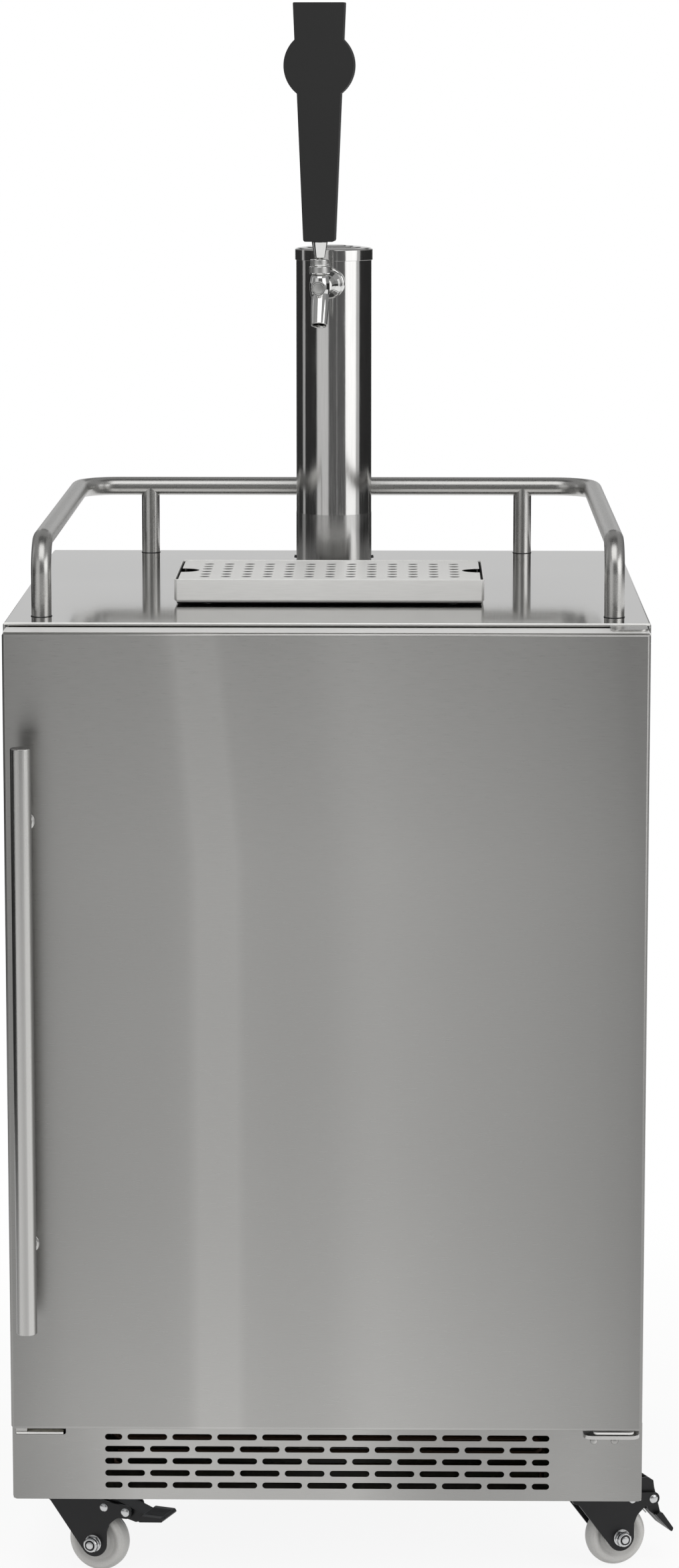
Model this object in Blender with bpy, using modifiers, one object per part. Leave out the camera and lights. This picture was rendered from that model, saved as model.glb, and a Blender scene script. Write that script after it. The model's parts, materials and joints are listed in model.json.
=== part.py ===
"""A stainless beer dispenser on casters: cabinet, hinged door, one tap on a tower, drip tray and guard rail.

Metres, +Z up. X runs to the right and Y to the back, as seen by someone standing at the tap. The origin is
on the floor, in the middle of the whole object's outline. Inside the script each place is counted from the
middle of the cabinet's front plane, and the empty called stand carries all of it to the origin.
"""

import math

import bmesh
import bpy
from mathutils import Matrix, Vector

# Sheet metal and fits
sheet = 0.0010
inside_bend = 0.0005
bend_radius = sheet + inside_bend
seat_gap = 0.0003
overrun = 0.004
weld_distance = 0.000001
full_turn = 2 * math.pi

# Facets of round pieces
large_sides = 24
medium_sides = 16
small_sides = 10
tiny_sides = 6
bend_steps = 1
end_steps = 3
slot_end_steps = 2

# Cabinet
cabinet_width = 0.600
cabinet_depth = 0.608
base_height = 0.087
counter_height = 0.930
return_width = 0.014
top_lip = 0.018
half_width = cabinet_width / 2
skin_inset = bend_radius + seat_gap
back_outer = cabinet_depth - sheet - seat_gap
back_inner = back_outer - sheet

# Inside of the cabinet
side_wall = 0.045
rear_wall = 0.038
hump_wall = 0.035
liner_wall = 0.0012
keg_bay_share = 0.7072
inside_floor = 0.210
hump_height = 0.180
plenum_height = 0.080
line_bore = 0.022
cavity_half = half_width - side_wall
ceiling = counter_height - side_wall
cavity_back = cabinet_depth - rear_wall
keg_bay_depth = cabinet_depth * keg_bay_share
hump_top = inside_floor + hump_height
compartment_front = keg_bay_depth + hump_wall
compartment_top = hump_top - hump_wall
foam_bottom = base_height + plenum_height

# Kick plate and its slots
kick_height = 0.078
kick_sheet = 0.0012
kick_corner = 0.004
kick_ear = 0.003
notch_width = 0.048
notch_depth = 0.014
slot_length = 0.038
slot_bridge = 0.00485
slot_height = 0.0059
slot_row_pitch = 0.0119
slot_top_drop = 0.0162
long_slots = 10
slot_rows = 5
kick_top = base_height + kick_height

# Door
door_side_drop = 0.0025
door_thickness = 0.033
door_gap = 0.010
door_kick_gap = 0.004
door_top_drop = 0.0035
door_edge_radius = 0.0025
hinge_inset = 0.014
hinge_setback = 0.011
liner_margin = 0.004
liner_sheet = 0.002
dike_clearance = 0.009
dike_width = 0.020
dike_corner = 0.014
dike_reach = 0.012
gasket_inset = 0.017
gasket_width = 0.014
gasket_corner = 0.006
door_width = cabinet_width - 2 * door_side_drop
door_half = door_width / 2
door_back = -door_gap
door_front = -(door_gap + door_thickness)
door_bottom = kick_top + door_kick_gap
door_top = counter_height - door_top_drop
hinge_x = door_half - hinge_inset
hinge_y = door_back - hinge_setback
hinge_pin_radius = 0.004
hinge_pin_depth = 0.020
hinge_plate = 0.0036
hinge_arm = 0.0022
hinge_plate_width = 0.053
hinge_arm_width = 0.034
hinge_plate_reach = 0.038
hinge_leg = 0.015
hinge_corner = 0.008
hinge_end = 0.0035
hinge_washer_radius = 0.008
stop_screw_radius = 0.004
stop_screw_height = 0.0025

# Door handle
handle_length_share = 0.7274
handle_rise = 0.1065
handle_radius = 0.0095
handle_standoff = 0.045
handle_from_edge = 0.020
handle_post_inset = 0.075
handle_post_radius = 0.006
handle_foot_radius = 0.009
handle_foot = 0.003
handle_chamfer = 0.0012
handle_length = (door_top - door_bottom) * handle_length_share
handle_bottom = door_bottom + handle_rise
handle_x = -(door_half - handle_from_edge)
handle_y = door_front - handle_standoff

# Guard rail
rail_radius = 0.0095
rail_height = 0.070
rail_side_inset = 0.032
rail_front_inset = 0.050
rail_back_inset = 0.020
rail_post_inset = 0.1045
rail_post_x = half_width - rail_post_inset
rail_front_bend = 0.030
rail_back_bend = 0.040
rail_bend_steps = 4

# Tower and its flange
tower_share = 0.699
tower_y = cabinet_depth * tower_share
tower_radius = 0.0381
tower_wall = 0.002
flange_size = 0.128
flange_corner = 0.020
flange_height = 0.005
flange_dome = 0.0015
tower_height = 0.3237
column_top = counter_height + tower_height
cap_lap = 0.0095
cap_wall = 0.00075
cap_thickness = 0.0028
cap_crown = 0.0007

# Tap
tap_turn = math.radians(-5)
shank_drop = 0.0307
shank_height = column_top - shank_drop
shank_radius = 0.011
shank_flange_radius = 0.016
shank_flange_thickness = 0.007
coupling_radius = 0.0145
coupling_length = 0.014
shank_nut_radius = 0.015
shank_nut_thickness = 0.012
shank_tail = 0.014
elbow_radius = 0.0045
elbow_drop = 0.025
tap_reach = 0.135
barrel_radius = 0.009
globe_radius = 0.00925
globe_top = 0.013
globe_bottom = 0.010
spout_radius = 0.0085
spout_drop = 0.039
spout_bore = 0.0058
spout_bore_depth = 0.020
boss_radius = 0.0073
boss_reach = 0.0135
boss_face_radius = 0.0052
boss_recess = 0.0012
bonnet_radius = 0.0102
bonnet_height = 0.0147
collar_radius = 0.0093
ball_radius = 0.004
neck_radius = 0.0032
ferrule_foot_radius = 0.005
ferrule_top_radius = 0.0083
ferrule_height = 0.016
ferrule_gap = 0.001
bonnet_cup_radius = 0.0078
bonnet_cup_depth = 0.0018
pivot_height = globe_top + 0.010

# Tap handle
paddle_length = 0.230
paddle_foot_width = 0.0303
paddle_disc_radius = 0.0342
paddle_disc_height = 0.1695
paddle_lower_width = 0.0424
paddle_neck_width = 0.0470
paddle_top_width = 0.0500
paddle_thickness = 0.020
paddle_edge = 0.0015

# Drip tray and grate
tray_width = 0.296
tray_front_share = 0.2237
tray_front = cabinet_depth * tray_front_share
tray_depth = 0.164
tray_height = 0.0224
tray_foot = 0.0023
tray_foot_radius = 0.006
tray_foot_inset = 0.030
tray_corner = 0.0025
grate_side_gap = 0.0008
grate_drop = 0.0006
grate_sheet = 0.0012
grate_hole_radius = 0.0042
grate_hole_sides = 6
grate_columns = 13
grate_rows = 6
grate_column_pitch = 0.020
grate_row_pitch = 0.0211
finger_notch_length = 0.017
finger_notch_width = 0.020
grate_tab_width = 0.030
grate_tab_inset = 0.012

# Casters
kingpin_side_inset = 0.050
kingpin_x = half_width - kingpin_side_inset
kingpin_inset = 0.062
caster_trail = 0.031
wheel_radius = 0.0305
wheel_width = 0.019
wheel_bore_radius = 0.0043
wheel_hub_radius = 0.0105
wheel_sides = 18
caster_plate_size = 0.060
caster_plate_thickness = 0.0025
caster_plate_corner = 0.006
raceway_radius = 0.021
raceway_height = 0.0095
fork_inner = 0.0130
fork_sheet = 0.0025
fork_top = 0.0745
fork_front = 0.022
fork_back = 0.034
axle_radius = 0.004
axle_nut_radius = 0.0075
axle_nut_height = 0.0055
fork_boss_radius = 0.0135
rivet_radius = 0.0038
rivet_height = 0.0018
fork_chin_share = 0.8
fork_brow_share = 0.6
rivet_x = 0.0425
rivet_z = 0.0673
pedal_pivot_x = 0.065
pedal_pivot_z = 0.065
pedal_lobe_radius = 0.009
pedal_pin_radius = 0.003
pedal_width = 0.022
pedal_reach = 0.020
toe_width = 0.034
pedal_travel_deg = 55
caster_angles_deg = (-21, 23, 15, 160)

# Base pan and cooling unit
base_sheet = 0.0015
base_flange = 0.030
cover_slot_length = 0.150
cover_slot_width = 0.008
cover_slot_pitch = 0.030
cover_slots = 9
cover_slot_rise = 0.145
gland_radius = 0.009
gland_x = -0.235
gland_z = 0.115
compressor_x = 0.110
compressor_share = 0.3984
compressor_y = (compartment_front + back_inner) / 2
compressor_radius = (back_inner - compartment_front) * compressor_share
compressor_oval = 1.2
compressor_height = 0.155
compressor_seam = 0.0025
grommet_height = 0.013
grommet_radius = 0.009
compressor_foot_length = 0.168
compressor_foot_inset = 0.008
compressor_foot_width = 2 * compressor_radius - compressor_foot_inset
compressor_foot_sheet = 0.003
coil_radius = 0.003
coil_pitch = 0.014
coil_runs = 5
coil_side_gap = 0.100
coil_half_length = half_width - coil_side_gap
coil_y = 0.045
fan_x = -0.120
fan_shroud_size = 0.140
fan_plate = 0.0015
fan_opening = 0.062
fan_setback = 0.035
fan_plate_y = compartment_front + fan_setback
fan_hub_radius = 0.018
fan_hub_length = 0.020
fan_blade_reach = 0.057
fan_blade_chord = 0.028
fan_blade_sheet = 0.0016
fan_blade_pitch = math.radians(32)
fan_blades = 5
fan_motor_radius = 0.022
fan_motor_length = 0.034
fan_arm = 0.006

# Evaporator on the rear wall
cooler_side_gap = 0.020
cooler_top_gap = 0.035
cooler_width_share = 0.784
cooler_height_share = 0.505
cooler_fan_share = 0.66
cooler_width = cavity_half * cooler_width_share
cooler_x = -(cavity_half - cooler_side_gap - cooler_width / 2)
cooler_height = (ceiling - hump_top) * cooler_height_share
cooler_bottom = ceiling - cooler_top_gap - cooler_height
cooler_depth = 0.050
cooler_wall = 0.0015
cooler_corner = 0.006
cooler_fan_rise = cooler_height * cooler_fan_share
cooler_fan_reach = 0.041
cooler_hub_radius = 0.012
cooler_hub_length = 0.013
cooler_fin = 0.0018
cooler_fins = 9
cooler_fin_depth = 0.024
cooler_coil_margin = 0.010
cooler_motor_radius = 0.014
grille_inner_shares = (0.36, 0.74)
grille_outer_shares = (0.62, 1.0)
grille_arc_deg = 70

# Things on the inside
floor_plate_margin = 0.005
floor_plate_sheet = 0.0015
floor_rib = 0.0015
floor_rib_width = 0.008
floor_ribs = 5
thermostat_side_gap = 0.055
thermostat_width = 0.110
thermostat_x = cavity_half - thermostat_side_gap - thermostat_width / 2
thermostat_depth = 0.080
thermostat_height = 0.034
thermostat_front = 0.055
knob_radius = 0.012
knob_depth = 0.013
bottle_side_gap = 0.0235
bottle_clearance = 0.0035
bottle_head_room = 0.115
bottle_radius = (cavity_back - keg_bay_depth) / 2 - bottle_clearance
bottle_x = cavity_half - bottle_side_gap - bottle_radius
bottle_height = ceiling - hump_top - bottle_head_room
bottle_neck_radius = 0.016
bottle_neck = 0.012
shelf_y = (keg_bay_depth + cavity_back) / 2
valve_radius = 0.011
valve_height = 0.042
valve_knob_radius = 0.020
valve_knob_height = 0.014
regulator_axis_rise = 0.024
regulator_nut_radius = 0.013
regulator_nut_length = 0.018
regulator_radius = 0.020
regulator_length = 0.040
gauge_radius = 0.020
gauge_thickness = 0.013
gauge_rise = 0.040
regulator_knob_radius = 0.013
regulator_knob_depth = 0.022
barb_radius = 0.0035
barb_length = 0.018
coupler_x = 0.020
coupler_foot_radius = 0.027
coupler_foot = 0.014
coupler_body_radius = 0.017
coupler_body = 0.070
coupler_nut_radius = 0.012
coupler_top = 0.108
coupler_gas_rise = 0.045
coupler_ear_rise = 0.056
coupler_ear_sheet = 0.003
coupler_handle_width = 0.009
coupler_handle_length = 0.095
coupler_handle_depth = 0.012
coupler_pin_radius = 0.0025
coupler_handle_lift = math.radians(50)

# Where the cabinet's front plane stands, so that the outline is centred on the origin
toe_reach = pedal_pivot_x + pedal_reach
rear_reach = cabinet_depth
front_reach = -(handle_y - handle_radius)
right_caster = math.radians(caster_angles_deg[1])
right_reach = kingpin_x + toe_reach * math.cos(right_caster) + toe_width / 2 * math.sin(right_caster)
stand_x = -(right_reach - half_width) / 2
stand_y = (front_reach - rear_reach) / 2


# Scene, collections and finishes

def clear_scene():
    for obj in list(bpy.data.objects):
        bpy.data.objects.remove(obj, do_unlink=True)


def new_collection(name):
    collection = bpy.data.collections.new(name)
    bpy.context.scene.collection.children.link(collection)
    return collection


def finish(name, colour, roughness, metallic):
    material = bpy.data.materials.new(name)
    material.use_nodes = True
    shader = material.node_tree.nodes["Principled BSDF"]
    shader.inputs["Base Color"].default_value = (*colour, 1)
    shader.inputs["Roughness"].default_value = roughness
    shader.inputs["Metallic"].default_value = metallic
    material.diffuse_color = (*colour, 1)
    return material


clear_scene()
parts = new_collection("kegerator")
cutters = new_collection("cutters")
brushed = finish("brushed_stainless", (0.55, 0.55, 0.54), 0.34, 1)
polished = finish("polished_stainless", (0.66, 0.66, 0.65), 0.12, 1)
chromed = finish("chromed_brass", (0.72, 0.72, 0.72), 0.07, 1)
zinc = finish("zinc_steel", (0.52, 0.53, 0.54), 0.4, 1)
black_steel = finish("black_enamel", (0.02, 0.02, 0.02), 0.45, 0)
matte_black = finish("matte_black", (0.016, 0.016, 0.017), 0.6, 0)
grey_rubber = finish("grey_tyre", (0.42, 0.42, 0.40), 0.6, 0)
liner_grey = finish("liner_plastic", (0.72, 0.73, 0.74), 0.4, 0)
seal_black = finish("seal_rubber", (0.03, 0.03, 0.03), 0.7, 0)
foam = finish("foam", (0.78, 0.70, 0.48), 0.9, 0)
copper = finish("copper", (0.72, 0.38, 0.24), 0.3, 1)
cast_metal = finish("cast_metal", (0.45, 0.45, 0.46), 0.4, 1)
bottle_paint = finish("bottle_paint", (0.60, 0.61, 0.62), 0.35, 1)


# Placing things

def add_empty(name, parent=None, location=(0, 0, 0), turn=0, tip=0):
    """An axis that carries pieces. turn is about Z and tip about Y."""
    obj = bpy.data.objects.new(name, None)
    obj.empty_display_size = return_width
    parts.objects.link(obj)
    obj.parent = parent
    obj.location = location
    obj.rotation_euler = (0, tip, turn)
    return obj


def add_piece(name, mesh, material, parent, location=(0, 0, 0)):
    obj = bpy.data.objects.new(name, mesh)
    parts.objects.link(obj)
    mesh.materials.clear()
    mesh.materials.append(material)
    obj.parent = parent
    obj.location = location
    mesh.shade_smooth()
    mesh.set_sharp_from_angle(angle=math.radians(30))
    return obj


def carried(name, mesh, material, axis):
    """A piece drawn from the cabinet's front plane, but carried by an axis that stands somewhere else."""
    return add_piece(name, mesh, material, axis, -axis.location)


def add_tool(target, mesh, operation, parent=None):
    tool = bpy.data.objects.new(target.name + "_tool", mesh)
    cutters.objects.link(tool)
    tool.parent = parent or target.parent
    tool.location = (0, 0, 0) if parent else target.location
    tool.hide_render = True
    tool.display_type = "WIRE"
    modifier = target.modifiers.new(operation.lower(), "BOOLEAN")
    modifier.object = tool
    modifier.operation = operation
    modifier.solver = "EXACT"
    return tool


def cut(target, mesh, parent=None):
    return add_tool(target, mesh, "DIFFERENCE", parent)


def join(target, mesh):
    return add_tool(target, mesh, "UNION")


def settled_mesh(obj):
    """The object's mesh with its modifiers made real, welded and facing outwards."""
    bpy.context.view_layer.update()
    graph = bpy.context.evaluated_depsgraph_get()
    mesh = bpy.data.meshes.new_from_object(obj.evaluated_get(graph))
    bm = bmesh.new()
    bm.from_mesh(mesh)
    bmesh.ops.remove_doubles(bm, verts=bm.verts, dist=weld_distance)
    bmesh.ops.recalc_face_normals(bm, faces=bm.faces)
    bm.to_mesh(mesh)
    bm.free()
    return mesh


def loose_mesh(data, name):
    """The mesh of a curve or of an object with modifiers that needs no object of its own."""
    obj = bpy.data.objects.new(name, data) if not isinstance(data, bpy.types.Object) else data
    if not obj.users_collection:
        cutters.objects.link(obj)
    mesh = settled_mesh(obj)
    mesh.name = name
    bpy.data.objects.remove(obj, do_unlink=True)
    return mesh


def finished_mesh(name, draw):
    mesh = bpy.data.meshes.new(name)
    draw.to_mesh(mesh)
    draw.free()
    return mesh


# Basic shapes

def block(name, low, high):
    bm = bmesh.new()
    bmesh.ops.create_cube(bm, size=1)
    low, high = Vector(low), Vector(high)
    bmesh.ops.scale(bm, vec=high - low, verts=bm.verts)
    bmesh.ops.translate(bm, vec=(high + low) / 2, verts=bm.verts)
    return finished_mesh(name, bm)


def rod(name, start, end, radius, sides=small_sides, end_radius=None, roll=0):
    """A round bar, or a cone, from start to end."""
    start, end = Vector(start), Vector(end)
    run = end - start
    bm = bmesh.new()
    far = radius if end_radius is None else end_radius
    bmesh.ops.create_cone(bm, cap_ends=True, segments=sides, radius1=radius, radius2=far, depth=run.length)
    bmesh.ops.rotate(bm, verts=bm.verts, cent=(0, 0, 0), matrix=Matrix.Rotation(roll, 3, "Z"))
    bmesh.ops.rotate(bm, verts=bm.verts, cent=(0, 0, 0), matrix=run.to_track_quat("Z", "Y").to_matrix())
    bmesh.ops.translate(bm, vec=(start + end) / 2, verts=bm.verts)
    return finished_mesh(name, bm)


def several(name, meshes):
    """Separate closed bodies in one mesh, for use as one tool."""
    bm = bmesh.new()
    for mesh in meshes:
        bm.from_mesh(mesh)
    return finished_mesh(name, bm)


def arc(centre, radius, start, end, steps):
    """Points on an arc, both ends included. Angles in degrees."""
    angles = [math.radians(start + (end - start) * i / steps) for i in range(steps + 1)]
    return [(centre[0] + radius * math.cos(a), centre[1] + radius * math.sin(a)) for a in angles]


def circle(centre, radius, sides):
    return arc(centre, radius, 0, 360, sides)[:-1]


def rectangle(low, high):
    return [low, (high[0], low[1]), high, (low[0], high[1])]


def rounded_rectangle(low, high, radius, steps=end_steps):
    (left, bottom), (right, top) = low, high
    left, bottom, right, top = left + radius, bottom + radius, right - radius, top - radius
    points = []
    for quarter, centre in enumerate(((right, top), (left, top), (left, bottom), (right, bottom))):
        points += arc(centre, radius, 90 * quarter, 90 * quarter + 90, steps)
    return points


def slot(centre, length, height, upright=False):
    """A long hole with round ends."""
    reach, radius = (length - height) / 2, height / 2
    right = arc((reach, 0), radius, -90, 90, slot_end_steps)
    left = arc((-reach, 0), radius, 90, 270, slot_end_steps)
    points = [(y, -x) if upright else (x, y) for x, y in right + left]
    return [(centre[0] + x, centre[1] + y) for x, y in points]


planes = {
    "XY": Matrix(((1, 0, 0), (0, 1, 0), (0, 0, 1))),
    "XZ": Matrix(((1, 0, 0), (0, 0, -1), (0, 1, 0))),
    "YZ": Matrix(((0, 0, 1), (1, 0, 0), (0, 1, 0))),
}


def slab(name, outline, low, high, plane, holes=()):
    """A flat outline in a plane, with its holes, as thick as the two levels given square to that plane."""
    curve = bpy.data.curves.new(name, "CURVE")
    curve.dimensions = "2D"
    curve.fill_mode = "BOTH"
    curve.extrude = abs(high - low) / 2
    for points in (outline, *holes):
        spline = curve.splines.new("POLY")
        spline.points.add(len(points) - 1)
        for point, (u, v) in zip(spline.points, points):
            point.co = (u, v, 0, 1)
        spline.use_cyclic_u = True
    mesh = loose_mesh(curve, name)
    facing = planes[plane] @ Vector((0, 0, 1))
    level = facing * (low + high) / 2 * sum(facing)
    mesh.transform(Matrix.Translation(level) @ planes[plane].to_4x4())
    return mesh


def turned(name, profile, sides=medium_sides, ring=False):
    """A profile of (radius, height) points, top to bottom down its outer side, turned about Z."""
    bm = bmesh.new()
    verts = [bm.verts.new((r, 0, z)) for r, z in profile]
    pairs = list(zip(verts, verts[1:])) + ([(verts[-1], verts[0])] if ring else [])
    for a, b in pairs:
        bm.edges.new((a, b))
    obj = bpy.data.objects.new(name, finished_mesh(name, bm))
    screw = obj.modifiers.new("turn", "SCREW")
    screw.steps = screw.render_steps = sides
    screw.use_merge_vertices = True
    screw.merge_threshold = weld_distance
    return loose_mesh(obj, name)


def moved(mesh, location):
    mesh.transform(Matrix.Translation(Vector(location)))
    return mesh


def lying(mesh, location=(0, 0, 0)):
    """A turned mesh laid down, so that its top faces the front."""
    mesh.transform(Matrix.Rotation(math.radians(90), 4, "X"))
    return moved(mesh, location)


def bent_path(corners, radius, steps):
    """A route through corners, with each inner corner rounded by one radius or by its own."""
    corners = [Vector(c) for c in corners]
    radii = radius if isinstance(radius, (list, tuple)) else [radius] * (len(corners) - 2)
    points = [corners[0]]
    for before, corner, after, bend in zip(corners, corners[1:], corners[2:], radii):
        toward, away = (before - corner).normalized(), (after - corner).normalized()
        half = toward.angle(away) / 2
        centre = corner + (toward + away).normalized() * bend / math.sin(half)
        start = corner + toward * bend / math.tan(half) - centre
        axis = start.cross(corner + away * bend / math.tan(half) - centre)
        sweep = math.pi - 2 * half
        for i in range(steps + 1):
            points.append(centre + Matrix.Rotation(sweep * i / steps, 3, axis) @ start)
    return points + [corners[-1]]


def tube(name, points, radius, resolution=2):
    curve = bpy.data.curves.new(name, "CURVE")
    curve.dimensions = "3D"
    curve.bevel_depth = radius
    curve.bevel_resolution = resolution
    curve.use_fill_caps = True
    spline = curve.splines.new("POLY")
    spline.points.add(len(points) - 1)
    for point, place in zip(spline.points, points):
        point.co = (*place, 1)
    return loose_mesh(curve, name)


def folded_sheet(name, path, start, end, axis, thickness, radius):
    """Sheet folded along a path in a plane, as long as start to end, with its thickness on the path's left."""
    lift = Vector((0, 0, 1)) if axis == "Z" else Vector((0, 1, 0))
    bm = bmesh.new()
    rows = []
    for point in bent_path(path, radius, bend_steps):
        rows.append((bm.verts.new(point + lift * start), bm.verts.new(point + lift * end)))
    for (a, b), (c, d) in zip(rows, rows[1:]):
        bm.faces.new((a, c, d, b))
    obj = bpy.data.objects.new(name, finished_mesh(name, bm))
    solid = obj.modifiers.new("thickness", "SOLIDIFY")
    solid.thickness = thickness
    solid.offset = -1
    solid.use_even_offset = True
    return loose_mesh(obj, name)


def pan(name, low, high, open_side, thickness, radius):
    """A box of sheet with one side left open. open_side is the direction that the open side faces."""
    mesh = block(name, low, high)
    bm = bmesh.new()
    bm.from_mesh(mesh)
    gone = [f for f in bm.faces if f.normal.dot(Vector(open_side)) > math.cos(math.radians(45))]
    bmesh.ops.delete(bm, geom=gone, context="FACES")
    bm.to_mesh(mesh)
    bm.free()
    obj = bpy.data.objects.new(name, mesh)
    bevel = obj.modifiers.new("folds", "BEVEL")
    bevel.width = radius
    bevel.segments = bend_steps
    bevel.limit_method = "ANGLE"
    solid = obj.modifiers.new("thickness", "SOLIDIFY")
    solid.thickness = thickness
    solid.offset = -1
    solid.use_even_offset = True
    return loose_mesh(obj, name)


def eased(mesh, name, width, segments=1):
    """The mesh with its edges broken by a small bevel."""
    obj = bpy.data.objects.new(name, mesh)
    bevel = obj.modifiers.new("edges", "BEVEL")
    bevel.width = width
    bevel.segments = segments
    bevel.limit_method = "ANGLE"
    return loose_mesh(obj, name)


# Cabinet

def side_panel(name, side):
    path = [(half_width - return_width, 0, 0), (half_width, 0, 0),
            (half_width, cabinet_depth, 0), (half_width - return_width, cabinet_depth, 0)]
    path = [(side * x, y, z) for x, y, z in path][::side]
    top = counter_height - top_lip - seat_gap
    mesh = folded_sheet(name, path, base_height, top, "Z", sheet, bend_radius)
    return add_piece(name, mesh, brushed, stand)


def back_panel():
    edge = half_width - skin_inset
    low = (-edge, compartment_top)
    high = (edge, counter_height - top_lip - seat_gap)
    mesh = slab("back_panel", rectangle(low, high), back_inner, back_outer, "XZ")
    return add_piece("back_panel", mesh, zinc, stand)


def compressor_cover():
    edge = half_width - skin_inset
    low, high = (-edge, base_height), (edge, compartment_top - seat_gap)
    middle = (cover_slots - 1) / 2
    level = base_height + cover_slot_rise
    holes = [slot(((i - middle) * cover_slot_pitch, level), cover_slot_length, cover_slot_width, upright=True)
             for i in range(cover_slots)]
    mesh = slab("compressor_cover", rectangle(low, high), back_inner, back_outer, "XZ", holes)
    cover = add_piece("compressor_cover", mesh, zinc, stand)
    join(cover, rod("gland", (gland_x, back_outer - sheet / 2, gland_z),
                    (gland_x, cabinet_depth, gland_z), gland_radius))
    return cover


def top_panel():
    low = (-half_width, 0, counter_height - top_lip)
    mesh = pan("top_panel", low, (half_width, cabinet_depth, counter_height), (0, 0, -1), sheet, bend_radius)
    panel = add_piece("top_panel", mesh, brushed, stand)
    cut(panel, bore_tool(line_bore))
    return panel


def bore_tool(radius):
    """The upright hole that the beer line comes through, from the ceiling to the tower."""
    low = ceiling - overrun
    return rod("line_bore", (0, tower_y, low), (0, tower_y, counter_height + overrun), radius, medium_sides)


def stepped_space(name, grow, front):
    """The space inside the cabinet, with its step over the compressor, larger by grow on every wall."""
    outline = [(front, inside_floor - grow), (keg_bay_depth + grow, inside_floor - grow),
               (keg_bay_depth + grow, hump_top - grow), (cavity_back + grow, hump_top - grow),
               (cavity_back + grow, ceiling + grow), (front, ceiling + grow)]
    return slab(name, outline, -(cavity_half + grow), cavity_half + grow, "YZ")


def insulation():
    edge = half_width - skin_inset
    low = (-edge, skin_inset, foam_bottom)
    high = (edge, back_inner - seat_gap, counter_height - skin_inset)
    body = add_piece("insulation", block("insulation", low, high), foam, stand)
    cut(body, stepped_space("cavity", liner_wall + seat_gap, -overrun))
    cut(body, block("compartment", (-half_width, compartment_front, base_height),
                    (half_width, cabinet_depth, compartment_top)))
    cut(body, bore_tool(line_bore))
    return body


def inner_liner():
    """One moulded lining: the keg bay, the step over the compressor, and the rim that the door seals on."""
    liner = add_piece("inner_liner", stepped_space("inner_liner", liner_wall, 0), liner_grey, stand)
    edge = half_width - return_width - seat_gap
    outline = rectangle((-edge, kick_top + seat_gap), (edge, counter_height - top_lip - seat_gap))
    join(liner, slab("rim", outline, 0, liner_wall, "XZ"))
    cut(liner, stepped_space("cavity", 0, -overrun))
    cut(liner, bore_tool(line_bore))
    return liner


def base_pan():
    edge = half_width - sheet - seat_gap
    path = [(-edge, 0, base_height + base_flange), (-edge, 0, base_height),
            (edge, 0, base_height), (edge, 0, base_height + base_flange)]
    front, back = skin_inset, back_inner - seat_gap
    mesh = folded_sheet("base_pan", path[::-1], front, back, "Y", base_sheet, base_sheet + inside_bend)
    floor = add_piece("base_pan", mesh, zinc, stand)
    half = caster_plate_size / 2
    for x, y in caster_places():
        outline = rounded_rectangle((x - half, y - half), (x + half, y + half), caster_plate_corner,
                                    bend_steps)
        join(floor, slab("caster_plate", outline, base_height - caster_plate_thickness,
                         base_height + base_sheet / 2, "XY"))
    return floor


def kick_plate():
    field = long_slots * slot_length + (long_slots - 1) * slot_bridge
    short = (field - (long_slots - 1) * slot_length - long_slots * slot_bridge) / 2
    holes = []
    for row in range(slot_rows):
        lengths = [slot_length] * long_slots
        if row % 2 == 0:
            lengths = [short] + [slot_length] * (long_slots - 1) + [short]
        x = -field / 2
        for length in lengths:
            centre = (x + length / 2, kick_top - slot_top_drop - row * slot_row_pitch)
            holes.append(slot(centre, length, slot_height))
            x += length + slot_bridge
    ear = half_width - kick_ear
    notch = kick_top - notch_depth
    left = arc((-half_width + kick_corner, base_height + kick_corner), kick_corner, 180, 270, bend_steps)
    half = [(-ear + notch_width, kick_top), (-ear + notch_width, notch), (-ear, notch), (-ear, kick_top),
            (-half_width, kick_top), *left]
    outline = half + [(-x, z) for x, z in reversed(half)]
    mesh = slab("kick_plate", outline, -(seat_gap + kick_sheet), -seat_gap, "XZ", holes)
    return add_piece("kick_plate", mesh, brushed, stand)


# Door

def door_skin():
    mesh = pan("door_skin", (-door_half, door_front, door_bottom), (door_half, door_back, door_top),
               (0, 1, 0), sheet, door_edge_radius)
    skin = carried("door_skin", mesh, brushed, door_axis)
    cut(skin, hinge_bores())
    return skin


def hinge_bores():
    radius = hinge_pin_radius + seat_gap
    depth = hinge_pin_depth + 2 * seat_gap
    lower = rod("lower_bore", (hinge_x, hinge_y, door_bottom - overrun),
                (hinge_x, hinge_y, door_bottom + depth), radius)
    upper = rod("upper_bore", (hinge_x, hinge_y, door_top - depth),
                (hinge_x, hinge_y, door_top + overrun), radius)
    return several("hinge_bores", [lower, upper])


def door_foam():
    inset = door_edge_radius + seat_gap
    low = (-door_half + inset, door_front + inset, door_bottom + inset)
    high = (door_half - inset, door_back, door_top - inset)
    core = carried("door_foam", block("door_foam", low, high), foam, door_axis)
    cut(core, hinge_bores())
    return core


def door_liner():
    back = door_back + seat_gap
    low = (-door_half + liner_margin, door_bottom + liner_margin)
    high = (door_half - liner_margin, door_top - liner_margin)
    plate = slab("door_liner", rounded_rectangle(low, high, gasket_corner, bend_steps), back, back
                 + liner_sheet, "XZ")
    liner = carried("door_liner", plate, liner_grey, door_axis)
    x, bottom, top = cavity_half - dike_clearance, inside_floor + dike_clearance, ceiling - dike_clearance
    outer = rounded_rectangle((-x, bottom), (x, top), dike_corner)
    inner = rounded_rectangle((-x + dike_width, bottom + dike_width), (x - dike_width, top - dike_width),
                              dike_corner / 2)
    join(liner, slab("dike", outer, back + liner_sheet / 2, dike_reach, "XZ", [inner]))
    return liner


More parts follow.
